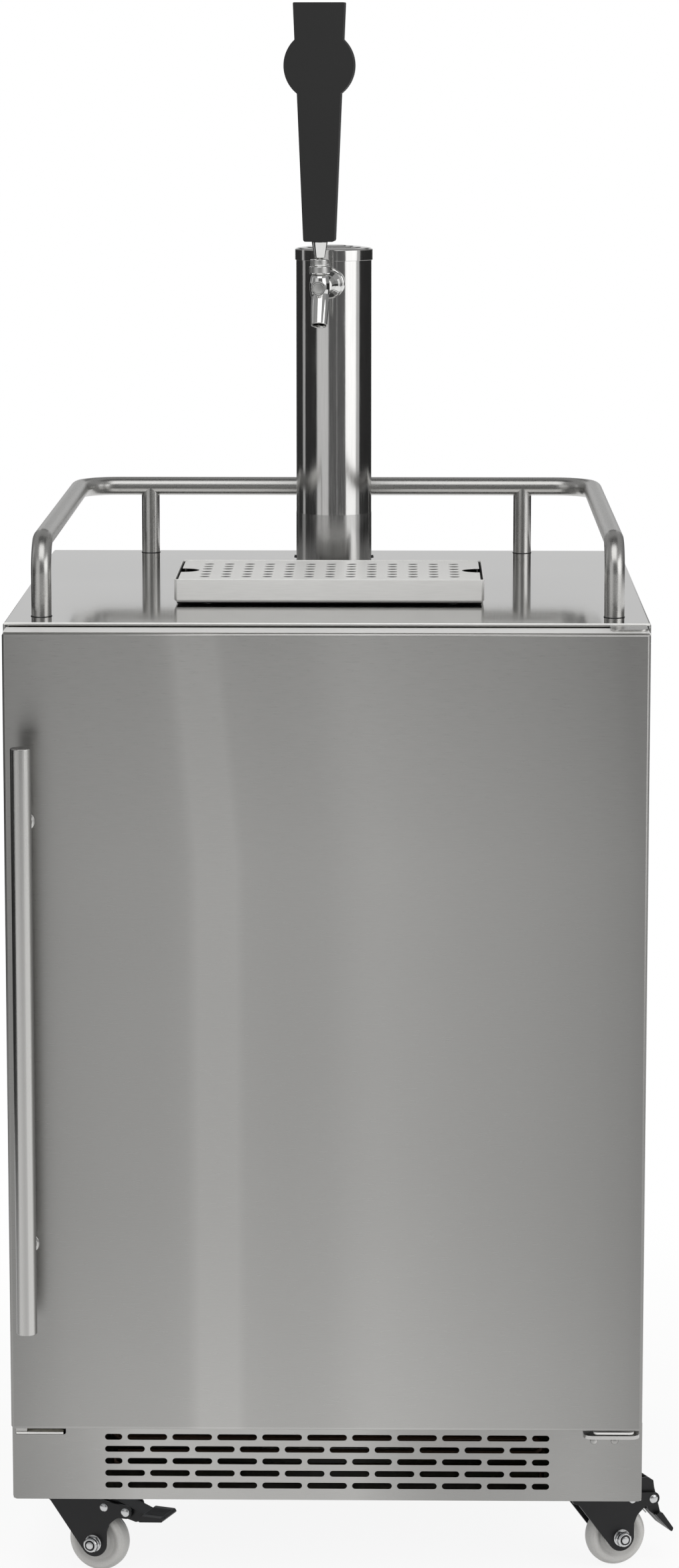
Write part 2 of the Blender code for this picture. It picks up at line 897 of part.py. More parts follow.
def door_gasket():
    inner_inset = gasket_inset + gasket_width
    low, high = (-door_half, door_bottom), (door_half, door_top)
    outlines = [rounded_rectangle((low[0] + d, low[1] + d), (high[0] - d, high[1] - d), gasket_corner,
                                  end_steps)
                for d in (gasket_inset, inner_inset)]
    front = door_back + liner_sheet + 2 * seat_gap
    mesh = slab("door_gasket", outlines[0], front, -seat_gap, "XZ", [outlines[1]])
    return carried("door_gasket", mesh, seal_black, door_axis)


def door_handle():
    bottom = (handle_x, handle_y, handle_bottom)
    top = (handle_x, handle_y, handle_bottom + handle_length)
    bar = eased(rod("door_handle_bar", bottom, top, handle_radius, medium_sides), "door_handle_bar",
                handle_chamfer)
    carried("door_handle_bar", bar, polished, door_axis)
    for name, z in (("handle_post_lower", bottom[2] + handle_post_inset),
                    ("handle_post_upper", top[2] - handle_post_inset)):
        foot = door_front - seat_gap
        post = carried(name, rod(name, (handle_x, foot, z), (handle_x, handle_y + handle_post_radius, z),
                                 handle_post_radius, small_sides), polished, door_axis)
        join(post, rod("post_foot", (handle_x, foot, z), (handle_x, foot - handle_foot, z),
                       handle_foot_radius))
        reach = handle_foot_radius + overrun
        cut(post, rod("bar_seat", (handle_x, handle_y, z - reach), (handle_x, handle_y, z + reach),
                      handle_radius + seat_gap, medium_sides))


def hinge_lower_bracket():
    right = door_half - hinge_end / 2
    left = right - hinge_plate_width
    top = kick_top - hinge_end / 2
    bottom = top - hinge_plate
    front, back = -hinge_plate_reach, -(kick_sheet + 2 * seat_gap)
    outline = [(left, back), *arc((left + hinge_corner, front + hinge_corner), hinge_corner, 180, 270,
                                  end_steps),
               *arc((right - hinge_corner, front + hinge_corner), hinge_corner, 270, 360, end_steps),
               (right, back)]
    bracket = add_piece("hinge_lower_bracket", slab("hinge_lower_bracket", outline, bottom, top, "XY"),
                        polished, stand)
    ear = half_width - kick_ear - seat_gap
    tab_left = ear - notch_width + 2 * seat_gap
    tab_bottom = kick_top - notch_depth + seat_gap
    join(bracket, block("tab", (tab_left, -(seat_gap + hinge_arm), tab_bottom),
                        (ear, -seat_gap, top - seat_gap)))
    at = (hinge_x, hinge_y)
    join(bracket, rod("washer", (*at, bottom + seat_gap), (*at, door_bottom - seat_gap), hinge_washer_radius))
    join(bracket, rod("pin", (*at, bottom + seat_gap), (*at, door_bottom + hinge_pin_depth),
                      hinge_pin_radius))
    for share in (0.28, 0.60):
        spot = (left + share * hinge_plate_width, front / 2)
        join(bracket, rod("stop_screw", (*spot, bottom - stop_screw_height),
                          (*spot, bottom + hinge_plate / 2),
                          stop_screw_radius))
    return bracket


def hinge_upper_bracket():
    right = door_half - hinge_end / 2
    left = right - hinge_arm_width
    bottom = door_top + seat_gap
    top = bottom + hinge_arm
    front = hinge_y - hinge_corner - hinge_pin_radius
    outline = [(left, -seat_gap), *arc((left + hinge_corner, front + hinge_corner), hinge_corner, 180,
                                       270, end_steps),
               *arc((right - hinge_corner, front + hinge_corner), hinge_corner, 270, 360, end_steps),
               (right, -seat_gap)]
    bracket = add_piece("hinge_upper_bracket", slab("hinge_upper_bracket", outline, bottom, top, "XY"),
                        polished, stand)
    leg = door_top - hinge_leg
    join(bracket, block("leg", (left + seat_gap, -(seat_gap + hinge_arm), leg),
                        (right - seat_gap, -2 * seat_gap, bottom + hinge_arm / 2)))
    join(bracket, rod("pin", (hinge_x, hinge_y, door_top - hinge_pin_depth),
                      (hinge_x, hinge_y, bottom + hinge_arm / 2),
                      hinge_pin_radius))
    return bracket


# Counter fittings

def guard_rail():
    side, front, back = half_width - rail_side_inset, rail_front_inset, cabinet_depth - rail_back_inset
    foot, top = counter_height + seat_gap, counter_height + rail_height
    corners = [(-side, front, foot), (-side, front, top), (-side, back, top),
               (side, back, top), (side, front, top), (side, front, foot)]
    bends = [rail_front_bend, rail_back_bend, rail_back_bend, rail_front_bend]
    route = bent_path(corners, bends, rail_bend_steps)
    rail = add_piece("guard_rail", tube("guard_rail", route, rail_radius, 3), polished, stand)
    for x in (-rail_post_x, rail_post_x):
        join(rail, rod("post", (x, back, foot), (x, back, top), rail_radius - seat_gap))
    return rail


def tower_flange():
    half = flange_size / 2
    outline = rounded_rectangle((-half, tower_y - half), (half, tower_y + half), flange_corner, end_steps)
    bottom = counter_height + seat_gap
    mesh = slab("tower_flange", outline, bottom, counter_height + flange_height, "XY",
                [circle((0, tower_y), line_bore, medium_sides)])
    return add_piece("tower_flange", eased(mesh, "tower_flange", flange_dome), polished, stand)


def tower_column():
    bottom = counter_height + flange_height + seat_gap
    inner = tower_radius - tower_wall
    profile = [(inner, column_top), (tower_radius, column_top), (tower_radius, bottom), (inner, bottom)]
    column = add_piece("tower_column", turned("tower_column", profile, large_sides, ring=True), polished,
                       stand,
                       (0, tower_y, 0))
    hole = rod("shank_hole", (0, 0, 0), (0, -(tower_radius + overrun), 0), shank_radius + seat_gap,
               medium_sides)
    cut(column, hole, tap_frame)
    return column


def tower_cap():
    outer = tower_radius + seat_gap + cap_wall
    inner = tower_radius + seat_gap
    under = column_top + seat_gap
    top = under + cap_thickness
    skirt = top - cap_thickness - cap_lap
    rim = cap_crown
    profile = [(0, top), (outer - 2 * rim, top - rim), (outer, top - 3 * rim), (outer, skirt), (inner, skirt),
               (inner, under), (0, under)]
    return add_piece("tower_cap", turned("tower_cap", profile, large_sides), polished, stand, (0, tower_y, 0))


# Tap, drawn in its own frame: the tower's axis at zero, the shank's axis at height zero and the front at -Y

def shank():
    mesh = rod("shank", (0, -shank_tail, 0), (0, -shank_end(), 0), shank_radius, medium_sides)
    piece = add_piece("shank", mesh, chromed, tap_frame)
    flat = (tower_radius - tower_wall) * math.cos(math.pi / large_sides)
    nut_front = math.sqrt(flat ** 2 - shank_nut_radius ** 2) - seat_gap
    join(piece, rod("shank_nut", (0, -(nut_front - shank_nut_thickness), 0), (0, -nut_front, 0),
                    shank_nut_radius, 6))
    route = bent_path([(0, -shank_tail - elbow_radius, 0), (0, 0, 0), (0, 0, -elbow_drop)],
                      2 * elbow_radius, end_steps)
    join(piece, tube("elbow", route, elbow_radius))
    return piece


def shank_end():
    return tower_radius + 2 * seat_gap + shank_flange_thickness + coupling_length


def shank_flange():
    bore, outer, depth = shank_radius + seat_gap, shank_flange_radius, shank_flange_thickness
    profile = [(bore, depth), (outer * 0.80, depth), (outer * 0.94, depth * 0.86), (outer, depth * 0.6),
               (outer, 0), (bore, 0)]
    mesh = lying(turned("shank_flange", profile, medium_sides, ring=True), (0, -(tower_radius + seat_gap), 0))
    return add_piece("shank_flange", mesh, chromed, tap_frame)


def coupling_nut():
    bore, outer, depth = shank_radius + seat_gap, coupling_radius, coupling_length
    lip = depth / 8
    profile = [(bore, depth), (outer - lip, depth), (outer, depth - lip), (outer, lip), (outer - lip, 0),
               (bore, 0)]
    start = tower_radius + 2 * seat_gap + shank_flange_thickness
    mesh = lying(turned("coupling_nut", profile, medium_sides, ring=True), (0, -start, 0))
    nut = add_piece("coupling_nut", mesh, chromed, tap_frame)
    return nut


def faucet_body():
    top, low = globe_top, -spout_drop
    waist = globe_radius - spout_radius
    profile = [(0, top), (globe_radius, top - waist), (globe_radius, 0), (spout_radius, -globe_bottom),
               (spout_radius, low + waist), (spout_radius - waist, low), (0, low)]
    body = add_piece("faucet_body", moved(turned("faucet_body", profile), (0, -tap_reach, 0)), chromed,
                     tap_frame)
    start = shank_end() + seat_gap
    join(body, rod("tailpiece", (0, -start, 0), (0, -(start + coupling_length / 2), 0), coupling_radius,
                   medium_sides))
    join(body, rod("barrel", (0, -start - waist, 0), (0, -tap_reach, 0), barrel_radius, medium_sides))
    front = tap_reach + boss_reach
    join(body, rod("boss", (0, -tap_reach, 0), (0, -front, 0), boss_radius, medium_sides))
    cut(body, rod("boss_recess", (0, -(front - boss_recess), 0), (0, -(front + overrun), 0),
                  boss_face_radius))
    cut(body, rod("spout_bore", (0, -tap_reach, low - overrun), (0, -tap_reach, low + spout_bore_depth),
                  spout_bore))
    return body


def faucet_bonnet():
    low = globe_top + seat_gap
    high = low + bonnet_height
    cup = high - bonnet_cup_depth
    groove = low + bonnet_height * 0.64
    lip = bonnet_height * 0.05
    bore = ball_radius + seat_gap
    profile = [(bonnet_cup_radius, high), (collar_radius, high), (collar_radius, groove + lip),
               (collar_radius - lip, groove + lip), (collar_radius - lip, groove), (bonnet_radius, groove),
               (bonnet_radius, low + lip), (bonnet_radius - lip, low), (bore, low), (bore, pivot_height),
               (bore + seat_gap * 4, cup), (bonnet_cup_radius, cup)]
    mesh = moved(turned("faucet_bonnet", profile, medium_sides, ring=True), (0, -tap_reach, 0))
    return add_piece("faucet_bonnet", mesh, chromed, tap_frame)


def ferrule_foot():
    """How far the ferrule starts above the ball, just clear of the bonnet's rim."""
    return globe_top + seat_gap + bonnet_height + ferrule_gap - pivot_height


def faucet_lever():
    shoulder = math.degrees(math.acos(neck_radius / ball_radius))
    ball = arc((0, 0), ball_radius, shoulder, -90, 5)
    foot = ferrule_foot()
    top = foot + ferrule_height
    profile = [(0, top), (ferrule_top_radius, top), (ferrule_foot_radius, foot), (neck_radius, foot)]
    profile += ball[:-1] + [(0, -ball_radius)]
    return add_piece("faucet_lever", turned("faucet_lever", profile), chromed, tap_pivot)


def tap_handle():
    bottom = ferrule_foot() + ferrule_height + seat_gap
    top = bottom + paddle_length
    disc = bottom + paddle_disc_height
    low_half, neck_half, top_half = paddle_lower_width / 2, paddle_neck_width / 2, paddle_top_width / 2
    start = math.degrees(math.asin(-math.sqrt(paddle_disc_radius ** 2 - low_half ** 2) / paddle_disc_radius))
    end = math.degrees(math.acos(neck_half / paddle_disc_radius))
    right = [(paddle_foot_width / 2, bottom), *arc((0, disc), paddle_disc_radius, start, end, 8),
             (top_half, top)]
    outline = right + [(-x, z) for x, z in reversed(right)]
    mesh = slab("tap_handle", outline, -paddle_thickness / 2, paddle_thickness / 2, "XZ")
    return add_piece("tap_handle", eased(mesh, "tap_handle", paddle_edge), matte_black, tap_pivot)


# Drip tray

def drip_tray():
    half, back = tray_width / 2, tray_front + tray_depth
    bottom = counter_height + tray_foot
    mesh = pan("drip_tray", (-half, tray_front, bottom), (half, back, bottom + tray_height), (0, 0, 1),
               sheet, tray_corner)
    tray = carried("drip_tray", mesh, brushed, tray_axis)
    for x in (-half + tray_foot_inset, half - tray_foot_inset):
        for y in (tray_front + tray_foot_inset, back - tray_foot_inset):
            join(tray, rod("foot", (x, y, counter_height + seat_gap), (x, y, bottom + sheet / 2),
                           tray_foot_radius,
                           tiny_sides))
    return tray


def drip_grate():
    half = tray_width / 2 - sheet - grate_side_gap
    front, back = tray_front + sheet + grate_side_gap, tray_front + tray_depth - sheet - grate_side_gap
    middle = (front + back) / 2
    top = counter_height + tray_foot + tray_height - grate_drop
    holes = [circle(((i - (grate_columns - 1) / 2) * grate_column_pitch,
                     middle + (j - (grate_rows - 1) / 2) * grate_row_pitch), grate_hole_radius,
                     grate_hole_sides)
             for i in range(grate_columns) for j in range(grate_rows)]
    reach, rise = finger_notch_length, finger_notch_width / 2
    curve = [(half - reach * math.sin(math.radians(a)), middle - rise * math.cos(math.radians(a)))
             for a in range(0, 181, 20)]
    corner = tray_corner
    right = [(half - corner, front), (half, front + corner), *curve, (half, back - corner),
             (half - corner, back)]
    outline = right + [(-x, y) for x, y in reversed(right)]
    mesh = slab("drip_grate", outline, top - grate_sheet, top, "XY", holes)
    grate = carried("drip_grate", mesh, brushed, grate_axis)
    floor = counter_height + tray_foot + sheet + seat_gap
    for side in (-1, 1):
        for y in (front + grate_tab_inset, back - grate_tab_inset - grate_tab_width):
            x = sorted((side * (half - corner), side * (half - corner - grate_sheet)))
            join(grate, block("tab", (x[0], y, floor), (x[1], y + grate_tab_width, top - grate_sheet / 2)))
    return grate


# Casters

def caster_places():
    return [(-kingpin_x, kingpin_inset), (kingpin_x, kingpin_inset),
            (-kingpin_x, cabinet_depth - kingpin_inset), (kingpin_x, cabinet_depth - kingpin_inset)]


def axle_height():
    """The wheels are faceted and stand on a flat facet."""
    return wheel_radius * math.cos(math.pi / wheel_sides)


def fork_mesh(braked):
    """Two side plates, the top plate, the raceway, the axle bolt with its head and nut, and the rivets."""
    height = axle_height()
    lobe = pedal_lobe_radius
    tail = [(pedal_pivot_x, pedal_pivot_z)] if braked else [(rivet_x, fork_top - lobe)]
    boss = fork_boss_radius
    outline = [(-fork_front, fork_top), (-fork_front * fork_chin_share, fork_top - lobe * fork_brow_share)]
    outline += arc((caster_trail, height), boss, 215, 365, 5)
    outline += [(caster_trail + boss * 1.05, height + boss * 1.1),
                (tail[0][0] - lobe * 1.2, tail[0][1] - lobe * 1.05)]
    outline += arc(tail[0], lobe, 280, 430, 3)
    outline += [(fork_back, fork_top)]
    inner, outer = fork_inner, fork_inner + fork_sheet
    obj = bpy.data.objects.new("fork", slab("side", outline, inner, outer, "XZ"))
    parts.objects.link(obj)
    join(obj, slab("side", outline, -outer, -inner, "XZ"))
    join(obj, block("top", (-fork_front + fork_sheet, -inner - fork_sheet / 2, fork_top - fork_sheet),
                    (fork_back - fork_sheet, inner + fork_sheet / 2, fork_top - seat_gap)))
    race_top = base_height - caster_plate_thickness - seat_gap
    join(obj, rod("raceway", (0, 0, fork_top - fork_sheet / 2), (0, 0, race_top), raceway_radius))
    bolt = outer + axle_nut_height
    join(obj, rod("axle", (caster_trail, -bolt, height), (caster_trail, bolt, height), axle_radius,
                  tiny_sides))
    join(obj, rod("nut", (caster_trail, -bolt + rivet_height, height),
                  (caster_trail, -inner - fork_sheet / 2, height),
                  axle_nut_radius, tiny_sides))
    join(obj, rod("head", (caster_trail, bolt - rivet_height, height),
                  (caster_trail, inner + fork_sheet / 2, height),
                  axle_nut_radius, tiny_sides))
    if braked:
        for side in (-1, 1):
            join(obj, rod("rivet", (rivet_x, side * (inner + fork_sheet / 2), rivet_z),
                          (rivet_x, side * (outer + rivet_height), rivet_z), rivet_radius, tiny_sides))
        end = outer + rivet_height
        join(obj, rod("pedal_pin", (pedal_pivot_x, -end, pedal_pivot_z), (pedal_pivot_x, end, pedal_pivot_z),
                      pedal_pin_radius, tiny_sides))
    return loose_mesh(obj, "caster_fork")


def wheel_mesh():
    """A solid wheel: rounded tread, dished side and hub, turned about Z and then laid on its axle."""
    half, hub = wheel_width / 2, wheel_width / 2 + (fork_inner - wheel_width / 2) * 0.8
    bore, r = wheel_bore_radius, wheel_radius
    side = [(bore, hub), (wheel_hub_radius, hub), (r * 0.70, half * 0.60), (r * 0.86, half), (r, half * 0.45)]
    profile = side + [(x, -z) for x, z in reversed(side)]
    mesh = turned("caster_wheel", profile, wheel_sides, ring=True)
    mesh.transform(Matrix.Rotation(-(math.pi / 2 + math.pi / wheel_sides), 4, "Z"))
    return lying(mesh)


def pedal_mesh():
    """The brake's rocker in its locked place: a short release arm above the pin and a wide toe below."""
    arm_shares = [(-0.585, 1.05), (-0.75, 0.92), (-0.135, -0.66), (0.09, -0.835), (0.935, -1.60), (1, -1.385),
                  (0.465, -0.745), (0.135, 0.52), (0.09, 0.86), (-0.20, 1.05)]
    arm = [(x * pedal_reach, z * pedal_reach) for x, z in arm_shares]
    hole = circle((0, 0), pedal_pin_radius + 3 * seat_gap, tiny_sides)
    obj = bpy.data.objects.new("pedal", slab("arm", arm, -pedal_width / 2, pedal_width / 2, "XZ", [hole]))
    parts.objects.link(obj)
    toe = arm[3:7]
    join(obj, slab("toe", toe, -toe_width / 2, toe_width / 2, "XZ"))
    return loose_mesh(obj, "brake_pedal")


def casters():
    braked, plain, wheel, pedal = fork_mesh(True), fork_mesh(False), wheel_mesh(), pedal_mesh()
    names = ("front_left", "front_right", "rear_left", "rear_right")
    for name, (x, y), angle in zip(names, caster_places(), caster_angles_deg):
        front = name.startswith("front")
        swivel = add_empty("swivel_" + name, stand, (x, y, 0), turn=math.radians(angle))
        add_piece("caster_fork_" + name, braked if front else plain, black_steel, swivel)
        axle = add_empty("axle_" + name, swivel, (caster_trail, 0, axle_height()))
        add_piece("caster_wheel_" + name, wheel, grey_rubber, axle)
        if front:
            # The right brake stands locked and the left one released
            tip = 0 if name == "front_right" else -math.radians(pedal_travel_deg)
            pivot = add_empty("pedal_pivot_" + name, swivel, (pedal_pivot_x, 0, pedal_pivot_z), tip=tip)
            add_piece("brake_pedal_" + name, pedal, black_steel, pivot)


# Cooling unit

def compressor():
    r, h, seam = compressor_radius, compressor_height, compressor_seam
    profile = [(0, h), (r * 0.62, h * 0.97), (r * 0.92, h * 0.86), (r, h * 0.70), (r, h * 0.54),
               (r + seam, h * 0.54), (r + seam, h * 0.50), (r, h * 0.50), (r * 0.96, h * 0.12),
               (r * 0.75, 0), (0, 0)]
    foot = base_height + base_sheet + seat_gap
    plate = foot + grommet_height
    mesh = turned("compressor", profile, small_sides)
    place = Matrix.Translation((compressor_x, compressor_y, plate))
    mesh.transform(place @ Matrix.Diagonal((compressor_oval, 1, 1, 1)))
    body = add_piece("compressor", mesh, black_steel, stand)
    x, y = compressor_foot_length / 2, compressor_foot_width / 2
    outline = rounded_rectangle((compressor_x - x, compressor_y - y), (compressor_x + x, compressor_y + y),
                                grommet_radius, bend_steps)
    join(body, slab("foot_plate", outline, plate, plate + compressor_foot_sheet, "XY"))
    for sx in (-1, 1):
        for sy in (-1, 1):
            at = (compressor_x + sx * (x - grommet_radius), compressor_y + sy * (y - grommet_radius))
            join(body, rod("grommet", (*at, foot), (*at, plate + compressor_foot_sheet / 2),
                           grommet_radius * 0.9,
                           tiny_sides))
    return body


def condenser_coil():
    points = []
    first = base_height + base_sheet + seat_gap + coil_radius
    for run in range(coil_runs):
        z = first + run * coil_pitch
        side = 1 if run % 2 == 0 else -1
        points.append((-side * coil_half_length, coil_y, z))
        if run < coil_runs - 1:
            turn = arc((side * coil_half_length, z + coil_pitch / 2), coil_pitch / 2, -90, 90, end_steps)
            mirror = 0 if side > 0 else 2 * side * coil_half_length
            points += [(abs(mirror - x) * side, coil_y, level) for x, level in turn[:-1]]
        else:
            points.append((side * coil_half_length, coil_y, z))
    return add_piece("condenser_coil", tube("condenser_coil", points, coil_radius, 1), copper, stand)


def fan_rotor_mesh(name, hub_radius, hub_length, reach, chord):
    """A hub and pitched blades, turning about Z with the hub's front up."""
    obj = bpy.data.objects.new(name, rod(name, (0, 0, -hub_length / 2), (0, 0, hub_length / 2),
                                         hub_radius, small_sides))
    parts.objects.link(obj)
    start = hub_radius * 0.7
    for i in range(fan_blades):
        blade = block("blade", (start, -chord / 2, -fan_blade_sheet / 2),
                      (reach, chord / 2, fan_blade_sheet / 2))
        spread = Matrix.Rotation(full_turn * i / fan_blades, 4, "Z")
        blade.transform(spread @ Matrix.Rotation(fan_blade_pitch, 4, "X"))
        join(obj, blade)
    return loose_mesh(obj, name)


def condenser_fan():
    foot = base_height + base_sheet + seat_gap
    centre = foot + fan_shroud_size / 2
    half = fan_shroud_size / 2
    back = fan_plate_y + fan_plate
    plate = slab("condenser_fan_shroud", rectangle((fan_x - half, foot),
                                                   (fan_x + half, foot + fan_shroud_size)),
                 fan_plate_y, back, "XZ", [circle((fan_x, centre), fan_opening, medium_sides)])
    shroud = add_piece("condenser_fan_shroud", plate, zinc, stand)
    reach = fan_opening + fan_arm
    join(shroud, block("arm", (fan_x - reach, fan_plate_y + fan_plate / 2, centre - fan_arm),
                       (fan_x + reach, back + fan_arm, centre + fan_arm)))
    join(shroud, rod("motor", (fan_x, back + fan_arm / 2, centre),
                     (fan_x, back + fan_arm + fan_motor_length, centre),
                     fan_motor_radius))
    join(shroud, rod("shaft_seat", (fan_x, fan_plate_y + fan_plate / 2, centre),
                     (fan_x, back + fan_arm, centre),
                     fan_hub_radius * 0.6))
    y = fan_plate_y + fan_plate / 2 - seat_gap - fan_hub_length / 2
    axis = add_empty("condenser_fan_axis", stand, (fan_x, y, centre))
    rotor = fan_rotor_mesh("condenser_fan", fan_hub_radius, fan_hub_length, fan_blade_reach, fan_blade_chord)
    add_piece("condenser_fan", lying(rotor), matte_black, axis)


def evaporator():
    """The finned plate on the rear wall, with the fan's motor on its front."""
    half = cooler_width / 2 - cooler_coil_margin
    back = cavity_back - seat_gap
    root = back - cooler_wall * 2
    tips = root - cooler_fin_depth
    pitch = (2 * half - cooler_fin) / (cooler_fins - 1)
    low, high = cooler_bottom + cooler_coil_margin, cooler_bottom + cooler_height - cooler_coil_margin
    plate = block("evaporator", (cooler_x - half, root, low), (cooler_x + half, back, high))
    coil = add_piece("evaporator", plate, cast_metal, stand)
    fins = []
    for i in range(cooler_fins):
        x = cooler_x - half + i * pitch
        fins.append(block("fin", (x, tips, low), (x + cooler_fin, root + cooler_wall, high)))
    join(coil, several("fins", fins))
    z = cooler_bottom + cooler_fan_rise
    motor_front = cooler_fan_y() + cooler_hub_length / 2 + seat_gap
    join(coil, rod("motor", (cooler_x, motor_front, z), (cooler_x, root + seat_gap, z), cooler_motor_radius))
    return coil


def cooler_fan_y():
    return cavity_back - cooler_depth + 2 * cooler_wall + cooler_hub_length / 2


def evaporator_cover():
    half = cooler_width / 2
    back = cavity_back - seat_gap
    front = cavity_back - cooler_depth
    mesh = pan("evaporator_cover", (cooler_x - half, front, cooler_bottom),
               (cooler_x + half, back, cooler_bottom + cooler_height), (0, 1, 0), cooler_wall, cooler_corner)
    cover = add_piece("evaporator_cover", mesh, liner_grey, stand)
    centre = (cooler_x, cooler_bottom + cooler_fan_rise)
    openings = []
    for inner_share, outer_share in zip(grille_inner_shares, grille_outer_shares):
        for quarter in range(4):
            start = 90 * quarter + (90 - grille_arc_deg) / 2
            opening = arc(centre, outer_share * cooler_fan_reach, start, start + grille_arc_deg, 2)
            opening += arc(centre, inner_share * cooler_fan_reach, start + grille_arc_deg, start, 2)
            openings.append(slab("opening", opening, front - overrun, front + cooler_wall + overrun / 4,
                                 "XZ"))
    cut(cover, several("openings", openings))
    return cover


def evaporator_fan():
    z = cooler_bottom + cooler_fan_rise
    axis = add_empty("evaporator_fan_axis", stand, (cooler_x, cooler_fan_y(), z))
    chord = fan_blade_chord * cooler_hub_length / fan_hub_length
    rotor = fan_rotor_mesh("evaporator_fan", cooler_hub_radius, cooler_hub_length, cooler_fan_reach, chord)
    add_piece("evaporator_fan", lying(rotor), matte_black, axis)


# Inside the cabinet

def floor_plate():
    edge = cavity_half - floor_plate_margin
    front, back = dike_reach + floor_plate_margin, keg_bay_depth - floor_plate_margin / 2
    low = inside_floor + seat_gap
    outline = rounded_rectangle((-edge, front), (edge, back), dike_width, end_steps)
    plate = add_piece("floor_plate", slab("floor_plate", outline, low, low + floor_plate_sheet, "XY"),
                      brushed, stand)
    pitch = 2 * edge / (floor_ribs + 1)
    for i in range(floor_ribs):
        x = -edge + pitch * (i + 1)
        join(plate, block("rib", (x - floor_rib_width / 2, front + dike_width, low + floor_plate_sheet / 2),
                          (x + floor_rib_width / 2, back - dike_width, low + floor_plate_sheet + floor_rib)))
    return plate


def thermostat():
    x = thermostat_width / 2
    top = ceiling - seat_gap
    low = (thermostat_x - x, thermostat_front, top - thermostat_height)
    mesh = eased(block("thermostat_housing", low,
                       (thermostat_x + x, thermostat_front + thermostat_depth, top)),
                 "thermostat_housing", liner_sheet)
    add_piece("thermostat_housing", mesh, liner_grey, stand)
    centre = (thermostat_x, thermostat_front - seat_gap, top - thermostat_height / 2)
    axis = add_empty("thermostat_axis", stand, centre)
    r, d = knob_radius, knob_depth
    profile = [(0, d), (r * 0.86, d), (r * 0.93, d * 0.9), (r, d * 0.15), (r, 0), (0, 0)]
    knob = add_piece("thermostat_knob", lying(turned("thermostat_knob", profile, small_sides)),
                     matte_black, axis)
    join(knob, block("grip", (-r * 0.16, -d - r * 0.25, -r * 0.9), (r * 0.16, -d / 2, r * 0.9)))


def co2_bottle():
    r, h = bottle_radius, bottle_height
    neck = bottle_neck_radius
    profile = [(0, h + bottle_neck), (neck, h + bottle_neck), (neck, h - r * 0.03), (r * 0.66, h - r * 0.20),
               (r * 0.93, h - r * 0.48), (r, h - r * 0.80), (r, r * 0.12), (r * 0.88, 0), (0, 0)]
    foot = hump_top + seat_gap
    mesh = moved(turned("co2_bottle", profile), (bottle_x, shelf_y, foot))
    return add_piece("co2_bottle", mesh, bottle_paint, stand)


def regulator():
    """The bottle's valve, the coupling nut, the regulator body, its two gauges and the hose barb."""
    foot = hump_top + 2 * seat_gap + bottle_height + bottle_neck
    top = foot + valve_height
    axis_z = foot + regulator_axis_rise
    at = (bottle_x, shelf_y)
    body = add_piece("regulator", rod("regulator", (*at, foot), (*at, top), valve_radius), chromed, stand)
    nut = bottle_x - valve_radius
    start = nut - regulator_nut_length
    end = start - regulator_length
    join(body, rod("outlet", (bottle_x, shelf_y, axis_z), (start, shelf_y, axis_z), valve_radius * 0.8))
    join(body, rod("coupling", (nut - seat_gap, shelf_y, axis_z), (start, shelf_y, axis_z),
                   regulator_nut_radius, 6))
    join(body, rod("chamber", (start + seat_gap, shelf_y, axis_z), (end, shelf_y, axis_z),
                   regulator_radius, medium_sides))
    middle = (start + end) / 2
    join(body, rod("stem", (middle, shelf_y, axis_z), (middle, shelf_y, axis_z + gauge_rise),
                   valve_radius * 0.55))
    face = gauge_thickness / 2
    join(body, rod("gauge", (middle, shelf_y - face, axis_z + gauge_rise),
                   (middle, shelf_y + face, axis_z + gauge_rise),
                   gauge_radius, medium_sides))
    join(body, rod("barb", (end + seat_gap, shelf_y, axis_z), (end - barb_length, shelf_y, axis_z),
                   barb_radius,
                   tiny_sides))
    knob_axis = add_empty("regulator_axis", stand, (middle, shelf_y - regulator_radius - seat_gap, axis_z))
    r, d = regulator_knob_radius, regulator_knob_depth
    profile = [(0, d), (r * 0.9, d), (r, d * 0.88), (r, d * 0.3), (r * 0.7, 0), (0, 0)]
    add_piece("regulator_knob", lying(turned("regulator_knob", profile, small_sides)), matte_black, knob_axis)
    wheel_axis = add_empty("valve_axis", stand, (*at, top + seat_gap))
    r, d = valve_knob_radius, valve_knob_height
    profile = [(0, d), (r * 0.5, d), (r * 0.9, d * 0.8), (r, d * 0.55), (r * 0.9, d * 0.3), (r * 0.4, 0),
               (0, 0)]
    add_piece("co2_valve_knob", turned("co2_valve_knob", profile, 8), matte_black, wheel_axis)
    return body


